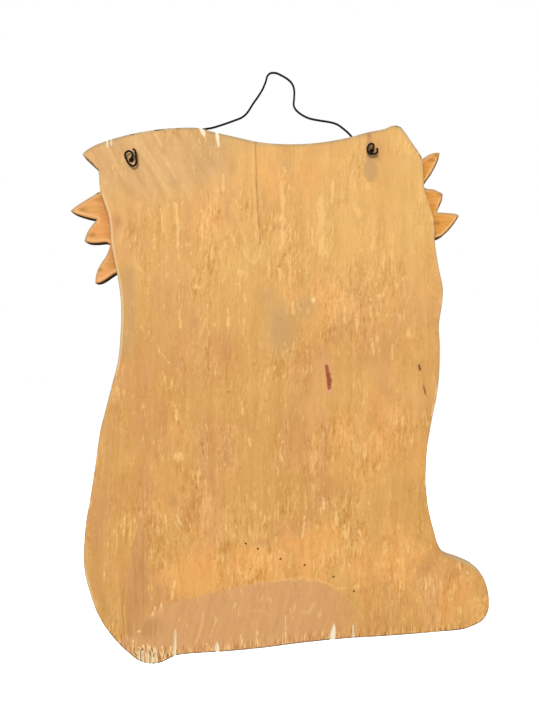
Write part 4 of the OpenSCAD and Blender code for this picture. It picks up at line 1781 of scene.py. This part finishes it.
        dark = streaks(
            (1.15, 0.66, (-11, -46), (-10.5, -71.5), (-9, -96), (-8, -110)),
            (0.9, 0.4, (-24, -89), (-20, -98.5), (-14.6, -114)),
            (1.2, 0.38, (-82.5, -279), (-85, -292), (-88.5, -302), (-91, -314), (-93, -327)),
            (1.6, 0.55, (-93, -324), (-93.4, -336), (-92.5, -352)),
            (1.1, 0.34, (-81, -279), (-78.5, -288), (-76.5, -302), (-75.8, -318)),
            (1.6, 0.40, (-61, -297), (-60.3, -303), (-58.6, -309), (-58, -316), (-55.6, -322)),
            (1, 0.7, (-43.8, -237), (-43, -240.5)), (1.3, 1.45, (90.4, -185.2), (91, -187.8)),
            (0.9, 0.5, (91, -187), (91.4, -189)), (0.95, 0.55, (92.8, -196), (94, -200.5), (95.6, -205.5)),
            (1.05, 1.15, (93.3, -198), (94.4, -203)), (0.8, 0.8, (72.4, -118), (72.4, -129)),
            (1.6, 0.34, (-45.4, -298.4), (-44.6, -313)), (1.5, 0.30, (-33, -306), (-31.6, -324)),
            (1.3, 0.26, (-28.4, -303), (-28, -321)), (1.5, 0.26, (-70, -300), (-69.5, -318)),
        ) + blots(
            (3.5, -123.5, 2.6, 2.4, 0.6), (-28, -201.5, 1.3, 1.3), (-44, -234, 1.1, 1.6),
            (69, -351.5, 1.2, 2.2), (103.5, -348.5, 1, 2), (107, -349, 1.2, 2.2), (-67, -40.5, 1.4, 1.2, 0.9),
            # The blot at 64.8 across is a painted shadow below the curl.
            (-62, -41, 1.2, 1.2, 0.9), (59.4, -42, 3.2, 7.5, 0.5), (64.8, -56.4, 6, 4.4, 0.5, 24),
            (-14.5, -307, 5, 5.6, 0.30), (-14.5, -311.5, 1.4, 1.4, 0.8), (-19, -316, 1.4, 1.4, 0.7),
            (-10, -316, 1.3, 1.8, 0.7), (60.4, -68.4, 3.6, 1.6, 0.36),
        ) + [
            Blot((-x, z), (2.0, 2.2), 0.26) for x, z in self.brad_bow
        ] + self.slivers((-86.5, -362), (-60, -367), 28, 8.0, 0.95)
        brushed = blots(
            (-50, -62, 30, 16, 0.7), (-38, -60, 26, 26, 0.75),
        ) + [
            Area(
                (
                    (-135, -60), (-100, -34), (-26, -34), (-22, -52), (-30, -68), (-48, -82), (-80, -84),
                    (-112, -80),
                ),
                12.0, 0.62,
            ),
        ]
        grey = streaks(
            (2.4, 0.6, (59.4, -41), (60, -49)),
            # These two streaks along the left edge are painted shade.
            (8, 0.3, (-99, -212), (-103, -250), (-110, -285), (-112, -318), (-102, -342), (-86, -357)),
            (8, 0.9, (-90, -128), (-89, -150), (-89, -160), (-92, -176)),
        ) + blots(
            (5, -162, 15, 26, 1.25), (-5, -142, 12, 12, 0.7), (66, -50, 8, 10, 0.4), (-78, -350, 17, 8, 0.8),
            (-42, -58, 18, 22, 0.75), (-38, -45, 20, 14, 0.85), (-13, -45, 12, 9, 0.8),
            (19, -150, 17, 14, 0.95), (-62, -71, 13, 13, 0.55), (8, -63, 16, 14, 0.5),
        ) + [
            Area(
                (
                    (58, -54), (62.6, -54), (62.8, -58), (64.6, -63), (64.4, -67), (62.4, -70.8), (59.4, -71),
                    (57, -67.6), (56.2, -63.4), (57.6, -58),
                ),
                1.7, 1.1,
            ),
        ]
        warm = blots(
            (-10, -308, 48, 25, 0.8), (-47, -312, 34, 26), (27, -300, 30, 32, 0.9), (72, -306, 54, 48, 0.58),
            (112, -335, 30, 34, 0.6), (5, -70, 46, 42, 0.42), (62, -75, 44, 44, 0.12),
            (72, -150, 40, 80, 0.32), (-85, -300, 22, 50, 0.45), (-38, -95, 34, 46, 0.45),
            (30, -150, 50, 70, 0.4), (-60, -260, 60, 50, 0.25), (58, -232, 62, 50, 0.52),
            (-48, -288, 16, 14, 0.5), (48, -118, 26, 34, 0.42),
        )
        # Painted light: patches made lighter, most on the right as seen from the back, where the light fell
        # brightest.
        light = blots(
            (88, -100, 44, 66, 0.62), (88, -44, 30, 16, 0.7), (86, -214, 34, 44, 0.26),
            (48, -110, 34, 50, 0.78), (38, -204, 28, 26, 0.75), (50, -238, 28, 26, 0.45),
            (70, -256, 22, 16, 0.6), (88, -200, 20, 18, 0.7), (86, -160, 18, 20, 0.3),
            (88, -246, 16, 16, 0.6), (64, -80, 26, 16, 0.55), (14, -118, 13, 12, 0.6),
            (-36, -106, 12, 12, 0.55), (-24, -281, 12, 12, 0.55), (62, -194, 16, 14, 0.5),
            (-24, -121, 16, 15, 0.9), (-4, -114, 18, 15, 0.7), (-54, -293, 15, 12, 0.7),
            (40, -318, 15, 12, 0.6), (82, -326, 26, 20, 0.4), (17, -312, 14, 9, 0.4), (44, -60, 16, 18, 0.5),
        )
        red = streaks(
            (3.6, 0.40, (33, -183), (33.8, -190), (34.4, -194), (34.4, -202)),
            (2.5, 0.95, (33.1, -185.4), (33.6, -189.5)), (3.3, 1.05, (34.1, -190.2), (34.8, -194.6)),
            (2.8, 1, (34.4, -194.6), (34.7, -199.2)), (1.9, 1.6, (33.9, -190.4), (34.7, -197.4)),
        )
        # Edges whose light rim is partly a painted highlight.
        lit_edge = blots(
            (-112, -100, 30, 30), (-106, -140, 30, 46), (-100, -170, 24, 30, 0.8), (122, -300, 24, 24, 0.6),
            (-104, -318, 20, 20, 0.8),
        )
        return {
            Layer.STROKE: diagonal + seam_light,
            Layer.PALE: pale_spots,
            Layer.GOLD: golden,
            Layer.FLECKS: flecks,
            Layer.WARM: warm,
            Layer.LIGHT: light,
            Layer.ARC: [arc],
            Layer.SHADE: shade,
            Layer.DARK: dark,
            Layer.BRUSHED: brushed,
            Layer.GREY: grey,
            Layer.LIT_EDGE: lit_edge,
            Layer.RED: red,
        }

    @staticmethod
    def slivers(start: Spot, end: Spot, count: int, length: float, strength: float) -> list[Mark]:
        """Short upright splinters side by side.

        Args:
            start: Middle of the first one.
            end: Middle of the last one.
            count: How many.
            length: Length of the longest.
            strength: Strength of each.

        Returns:
            The marks.
        """
        marks = []
        for n in range(count):
            share = n / (count - 1)
            across = start[0] + (end[0] - start[0]) * share + 0.7 * math.sin(5.1 * n)
            up = start[1] + (end[1] - start[1]) * share + 1.8 * math.sin(2.4 * n)
            half = length * (0.26 + 0.24 * math.sin(1.7 * n))
            lean = 0.9 * math.sin(0.9 * n) + 0.3 * math.sin(4.3 * n)
            reach = 0.66 + 0.16 * math.sin(3.1 * n)
            marks.append(Streak(((across - lean, up + half), (across + lean, up - half)), reach, strength))
        return marks

    def build(self) -> list[bpy.types.Object]:
        """Makes both veneers and dresses the core.

        Returns:
            The three pieces.
        """
        sawn = Outline.of_node("board_core")
        marks = self.back_marks()
        back = Veneer("board_back", "board_back_veneer", Face.BACK, marks, self.back_spacing, sawn)
        piece = back.build()
        dress(piece, BackVeneer().material())
        pieces = [piece]
        marks = self.vine.marks(self.brad_bow)
        front = Veneer("board_front", "board_front_veneer", Face.FRONT, marks, self.front_spacing, sawn)
        piece = front.build()
        dress(piece, BoardPaint().material())
        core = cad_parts["board_core"]
        dress(core, PlyCore().material("board_core", "board_core_edge", self.painted_edge))
        return pieces + [piece, core]


@dataclass
class Spray:
    """A leaf spray fixed on the board's front: a core between a bare back and a painted front veneer.

    Lengths are in mm. The hub and the tips of the leaves are as seen from the front, and the spots on the
    back as seen from the back. A midrib's ends and its veins are at shares of the way from hub to tip.
    """

    side: Side
    hub: Spot
    tips: tuple[Spot, ...]
    back_spots: tuple[Spot, ...]
    smear_size: Spot = (4.6, 2.2)
    spacing: float = 1.0 * MM
    midrib: Spot = (0.12, 0.93)
    midrib_reach: float = 3.4
    vein_shares: tuple[float, ...] = (0.42, 0.54, 0.66, 0.78)
    vein_turn: float = 38.0
    vein_length: float = 10.5
    vein_reach: float = 2.9
    painted_edge: float = 0.9
    edge_paint: Colour = (0.050, 0.026, 0.010)

    @property
    def name(self) -> str:
        """Start of the names of this spray's pieces."""
        return f"{self.side.name.lower()}_spray"

    def veins(self) -> list[Mark]:
        """A midrib in each leaf with short veins to both sides.

        Returns:
            The marks.
        """
        marks = []
        hub = np.array(self.hub)
        for tip in self.tips:
            end = np.array(tip)
            way = (end - hub) / np.linalg.norm(end - hub)
            start, stop = (hub + share * (end - hub) for share in self.midrib)
            marks.append(Streak((tuple(start), tuple(stop)), self.midrib_reach, 1.0))
            for share in self.vein_shares:
                spot = hub + share * (end - hub)
                for side in (-1, 1):
                    turn = math.atan2(way[1], way[0]) + side * math.radians(self.vein_turn)
                    reach = self.vein_length * (1.06 - share)
                    outer = spot + reach * np.array([math.cos(turn), math.sin(turn)])
                    marks.append(Streak((tuple(spot), tuple(outer)), self.vein_reach, 1.02))
        return marks

    def build(self) -> list[bpy.types.Object]:
        """Makes both veneers and dresses the core.

        Returns:
            The three pieces.
        """
        name, node = self.name, f"{self.name}_core"
        sawn = Outline.of_node(node)
        board = Outline.of_node("board_core")
        marks = {Layer.DARK: [Blot(spot, self.smear_size) for spot in self.back_spots]}
        back = Veneer(f"{name}_back", f"{name}_back_veneer", Face.BACK, marks, self.spacing, sawn, board)
        piece = back.build()
        dress(piece, SprayBack().material())
        pieces = [piece]
        marks = {Layer.VEIN: self.veins()}
        front = Veneer(f"{name}_front", f"{name}_front_veneer", Face.FRONT, marks, self.spacing, sawn)
        piece = front.build()
        dress(piece, SprayPaint().material())
        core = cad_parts[node]
        dress(core, PlyCore(paint=self.edge_paint).material(node, f"{name}_edge", self.painted_edge))
        return pieces + [piece, core]


@dataclass
class Brads:
    """The brads of the board and of the sprays."""

    nodes: tuple[str, ...] = ("board_brads", "spray_brads")
    rounding: float = 0.12 * MM

    def build(self) -> list[bpy.types.Object]:
        """Rounds the brads' edges and dresses them.

        Returns:
            The brads of the board and of the sprays.
        """
        steel = BradSteel().material()
        pieces = [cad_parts[node] for node in self.nodes]
        for piece in pieces:
            worn_edge(piece, self.rounding)
            dress(piece, steel)
        return pieces


@dataclass
class Hanger:
    """The wire from one curl behind the board, through its hole, over the nail and back to the other curl.

    Lengths are in mm. The knots of a run are across and up from the nail, and those of a curl from its
    hole. The bend is the radius at the holes, and the cut ends are rounded by a share of the wire's radius.
    """

    wire_d: float = 1.3
    bend: float = 1.6
    sides: int = 18
    run_step: float = 1.5
    curl_step: float = 0.5
    cut_chamfer: float = 0.3
    sharp_from: float = 50.0
    right_hole: Spot = (88, -57.8)
    left_hole: Spot = (-61, -52.2)
    front_y: float = 1.85
    board_t: float = 6.0
    curl_gap: float = 1.3
    right_run: tuple[Spot, ...] = (
        (0, 0.65), (1.8, 0.4), (3.6, -1.4), (4.6, -4.9), (6.6, -9.7), (9.3, -14.1), (12.6, -18.8),
        (16.2, -24.4), (19.6, -27.5), (25.2, -29.8), (32, -32.2), (38.6, -34.2), (45, -35.4), (55, -39.4),
        (66, -45.6), (77, -52), (88, -57.8),
    )
    left_run: tuple[Spot, ...] = (
        (0, 0.65), (-2.1, 0.5), (-5.2, -0.9), (-9.2, -3.3), (-11.6, -5.6), (-13, -8.3), (-13.5, -11.8),
        (-13.3, -16.4), (-13.1, -19.9), (-14.5, -22.8), (-18.2, -25.9), (-23, -28.2), (-29.8, -29.6),
        (-36, -30.6), (-40.4, -31.9), (-44, -34.3), (-47.8, -37.6), (-54.5, -45.2), (-61, -52.2),
    )
    right_curl: tuple[Spot, ...] = (
        (0, 0), (-1.2, 1.9), (-0.9, 3.7), (1.1, 4.7), (2.9, 3.8), (3.4, 2.1), (2.6, -0.4), (1.1, -2.9),
        (-1.2, -4.4), (-2.9, -3.7), (-3.5, -1.5), (-3.3, 0.6), (-3, 3.6), (-2.6, 5.2), (-1.3, 6),
    )
    left_curl: tuple[Spot, ...] = (
        (0, 0), (-0.8, 1.6), (-0.8, 2.8), (0.1, 3.6), (1.6, 3.3), (2.7, 1.8), (3, 0), (2.5, -1.7),
        (1.2, -2.7), (-0.5, -2.8), (-2.1, -2.3), (-3.1, -1), (-3.1, 0.2), (-2.6, 0.9),
    )

    @property
    def curl_y(self) -> float:
        """Depth of the curled ends."""
        return self.front_y + self.board_t + self.curl_gap + self.wire_d / 2

    @staticmethod
    def smooth(knots: np.ndarray, step: float) -> np.ndarray:
        """A smooth line through knots.

        Args:
            knots: The knots, one a row.
            step: Distance between the points.

        Returns:
            The line's points.
        """
        lengths = np.linalg.norm(np.diff(knots, axis=0), axis=1)
        headings = (knots[2:] - knots[:-2]) / (lengths[:-1] + lengths[1:])[:, None]
        points = []
        last = len(knots) - 2
        for n, length in enumerate(lengths):
            p, q = knots[n], knots[n + 1]
            out = headings[n - 1] * length if n > 0 else None
            into = headings[n] * length if n < last else None
            leave = out if out is not None else 1.5 * (q - p) - 0.5 * into
            arrive = into if into is not None else 1.5 * (q - p) - 0.5 * out
            count = math.ceil(length / step)
            for t in np.arange(count) / count:
                points.append(
                    p * (2 * t ** 3 - 3 * t ** 2 + 1) + leave * (t ** 3 - 2 * t ** 2 + t)
                    + q * (3 * t ** 2 - 2 * t ** 3) + arrive * (t ** 3 - t ** 2)
                )
        return np.array(points + [knots[-1]])

    def quarter_bend(self, hole: np.ndarray, way: np.ndarray, depth: float, side: int) -> np.ndarray:
        """A bend from the hole's axis into the plane at a depth.

        Args:
            hole: The hole, across and up.
            way: Direction in which the wire leaves.
            depth: Depth of the plane.
            side: 1 where the plane is behind the board, -1 in front.

        Returns:
            The bend's points.
        """
        points = []
        for degrees in range(0, 91, 10):
            turn = math.radians(degrees)
            away = self.bend * (1 - math.cos(turn))
            short = self.bend * (1 - math.sin(turn))
            points.append((hole[0] + way[0] * away, depth - side * short, hole[1] + way[1] * away))
        return np.array(points)

    def half(self, run_knots: tuple[Spot, ...], curl_knots: tuple[Spot, ...], hole: Spot) -> np.ndarray:
        """One half of the wire, from the nail to its cut end.

        Args:
            run_knots: Knots of the run.
            curl_knots: Knots of the curl.
            hole: The hole between them.

        Returns:
            The half's points.
        """
        at = np.array(hole, float)
        run = self.smooth(np.array(run_knots, float), self.run_step)[::-1]
        curl = self.smooth(np.array(curl_knots, float) + at, self.curl_step)
        parts = []
        up = (run[1] - run[0]) / np.linalg.norm(run[1] - run[0])
        way = (curl[1] - curl[0]) / np.linalg.norm(curl[1] - curl[0])
        clear = self.bend + self.wire_d / 8
        far = run[np.linalg.norm(run - at, axis=1) > clear][::-1]
        parts.append(np.stack([far[:, 0], np.zeros(len(far)), far[:, 1]], axis=1))
        parts.append(self.quarter_bend(at, up, 0, -1)[::-1])
        parts.append(self.quarter_bend(at, way, self.curl_y, 1))
        round_it = curl[np.linalg.norm(curl - at, axis=1) > clear]
        parts.append(np.stack([round_it[:, 0], np.full(len(round_it), self.curl_y), round_it[:, 1]], axis=1))
        return np.concatenate(parts)

    def path(self) -> np.ndarray:
        """The whole wire's centre line, from the right curl's end to the left curl's.

        Returns:
            Its points, in metres.
        """
        right = self.half(self.right_run, self.right_curl, self.right_hole)
        left = self.half(self.left_run, self.left_curl, self.left_hole)
        return np.concatenate([right[::-1], left[1:]]) * MM

    def tube(self, line: np.ndarray) -> tuple[np.ndarray, Faces]:
        """A round bar along a line, with its cut ends a little rounded.

        Args:
            line: The centre line.

        Returns:
            The points and faces.
        """
        radius = self.wire_d / 2 * MM
        ways = np.empty_like(line)
        ways[1:-1] = line[2:] - line[:-2]
        ways[0], ways[-1] = line[1] - line[0], line[-1] - line[-2]
        ways /= np.linalg.norm(ways, axis=1)[:, None]
        side = np.cross(ways[0], (0, 1, 0))
        side /= np.linalg.norm(side)
        chamfer = self.cut_chamfer * radius
        centres, axes = np.vstack([line[:1], line, line[-1:]]), np.vstack([ways[:1], ways, ways[-1:]])
        centres[1] += ways[0] * chamfer
        centres[-2] -= ways[-1] * chamfer
        radii = np.full(len(centres), radius)
        radii[[0, -1]] -= chamfer
        points = []
        before = axes[0]
        for centre, size, way in zip(centres, radii, axes):
            axis = np.cross(before, way)
            along = float(np.dot(before, way))
            side = along * side + np.cross(axis, side) + axis * np.dot(axis, side) / (1 + along)
            side -= way * np.dot(side, way)
            side /= np.linalg.norm(side)
            up = np.cross(way, side)
            for n in range(self.sides):
                turn = 2 * math.pi * n / self.sides
                points.append(centre + size * (math.cos(turn) * side + math.sin(turn) * up))
            before = way
        faces = []
        for ring in range(len(centres) - 1):
            for n in range(self.sides):
                after = (n + 1) % self.sides
                low, high = ring * self.sides, (ring + 1) * self.sides
                faces.append((low + n, low + after, high + after, high + n))
        faces.append(tuple(range(self.sides))[::-1])
        faces.append(tuple(range(len(points) - self.sides, len(points))))
        return np.array(points), faces

    def build(self) -> list[bpy.types.Object]:
        """Makes the wire.

        Returns:
            The wire.
        """
        points, faces = self.tube(self.path())
        piece = closed_piece("wire", points, faces, self.sharp_from)
        dress(piece, HangerSteel().material())
        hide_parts("hanger_wire")
        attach(piece, HANGER)
        return [piece]


# The studio

@dataclass(frozen=True)
class Lamp:
    """A square soft light that faces the middle of the sign."""

    name: str
    place: tuple[float, float, float]
    size: float
    power: float
    target: tuple[float, float, float] = (0.0, 0.0, -0.2)

    def build(self) -> None:
        """Hangs the lamp."""
        data = bpy.data.lights.new(self.name, "AREA")
        data.shape = "SQUARE"
        data.size = self.size
        data.energy = self.power
        lamp = bpy.data.objects.new(self.name, data)
        lamp.location = self.place
        aim = Vector(self.target) - Vector(self.place)
        lamp.rotation_euler = aim.to_track_quat("-Z", "Y").to_euler()
        linked(lamp)


@dataclass
class Studio:
    """Camera, lamps, floor and white surround.

    Attributes:
        photo_px: Width and height of the photograph.
        axis_px: Where the camera's axis meets the photograph.
        focal_px: Focal length in pixels.
        camera_at: Place of the camera.
        sensor: Width of the camera's sensor, in mm.
        nearest: How near the camera still sees.
        floor_z: Height of the floor.
        floor_size: Width of the floor.
        floor_grey: Colour of the floor to the light.
        floor_seen: Colour of the floor to the camera and to reflections.
        floor_glow: What the floor shows there besides, so that it comes out white and keeps the shadow.
        ambient: Colour of the light from all round.
        white: Colour of the surround to the camera and to reflections.
        lamps: One lamp behind the sign and one in front.
    """

    photo_px: Spot = (539, 726)
    axis_px: Spot = (262, 395)
    focal_px: float = 564.5
    camera_at: tuple[float, float, float] = (0.007, 0.35785, -0.2035)
    sensor: float = 36.0
    nearest: float = 0.01
    floor_z: float = -0.43
    floor_size: float = 60.0
    floor_grey: Colour = (0.42, 0.42, 0.42)
    floor_seen: Colour = (0.88, 0.88, 0.88)
    floor_glow: float = 0.6
    ambient: Colour = (0.52, 0.52, 0.52)
    white: Colour = (1.0, 1.0, 1.0)
    lamps: tuple[Lamp, ...] = (
        Lamp("key_behind", (0.65, 2.2, 1.0), 0.9, 42.0),
        Lamp("key_in_front", (-0.9, -2.1, 1.0), 0.9, 42.0),
    )

    def build(self) -> None:
        """Makes the whole studio."""
        self._camera()
        for lamp in self.lamps:
            lamp.build()
        self._surround()
        self._floor()
        bpy.context.scene.view_settings.view_transform = "Standard"

    def _camera(self) -> None:
        """Places the camera as the photograph was taken, behind the sign and level."""
        width, height = self.photo_px
        data = bpy.data.cameras.new("camera")
        data.sensor_width = self.sensor
        data.lens = self.focal_px * self.sensor / height
        data.shift_x = (width / 2 - self.axis_px[0]) / height
        data.shift_y = (self.axis_px[1] - height / 2) / height
        data.clip_start = self.nearest
        camera = bpy.data.objects.new("camera", data)
        camera.location = self.camera_at
        camera.rotation_euler = (math.radians(90), 0.0, math.radians(180))
        bpy.context.scene.camera = linked(camera)

    def _surround(self) -> None:
        """White to the camera and to reflections, and a plain soft light to the rest."""
        g = Graph(bpy.data.worlds.new("surround"))
        colour = g.mix(g.seen(), self.ambient, self.white)
        bpy.context.scene.world = g.closed(g.add("ShaderNodeBackground", {}, {"Color": colour}))

    def _floor(self) -> None:
        """A pale floor that keeps the sign's shadow."""
        half = self.floor_size / 2
        mesh = bpy.data.meshes.new("floor")
        corners = [(-half, -half), (half, -half), (half, half), (-half, half)]
        mesh.from_pydata([(x, y, self.floor_z) for x, y in corners], [], [(0, 1, 2, 3)])
        floor = linked(bpy.data.objects.new("floor", mesh))
        g = Graph.of_material("floor")
        seen = g.seen()
        matte = g.add("ShaderNodeBsdfDiffuse", {}, {"Color": g.mix(seen, self.floor_grey, self.floor_seen)})
        glow = g.add("ShaderNodeEmission", {}, {"Strength": self.floor_glow})
        lift = g.add("ShaderNodeMixShader", {}, {0: seen, 2: glow})
        dress(floor, g.closed(g.add("ShaderNodeAddShader", {}, {0: matte, 1: lift})))


def main() -> None:
    """Builds the studio and every piece of the sign, and writes how big the result is."""
    logging.basicConfig(level=logging.INFO, format="%(message)s")
    Studio().build()
    right = Spray(
        Side.RIGHT,
        hub=(63.8, -78.6),
        tips=((127.7, -87.4), (119.1, -106.2), (112.2, -132.8), (81.8, -144.6), (61.8, -139.6)),
        back_spots=((-120, -86.5), (-114, -102.5), (-110, -124.5)),
    )
    left = Spray(
        Side.LEFT,
        hub=(-61, -102.5),
        tips=((-117.4, -90.4), (-107, -76.5), (-105.2, -50.7), (-76.5, -48.5), (-58, -62.5)),
        back_spots=((103, -95), (99.8, -55.4), (103.4, -52.4), (106, -77)),
    )
    for assembly in (Board(), right, left, Brads(), Hanger()):
        for piece in assembly.build():
            mesh = piece.data
            LOG.info("%s: %d points, %d faces", piece.name, len(mesh.vertices), len(mesh.polygons))


if __name__ == "__main__":
    main()
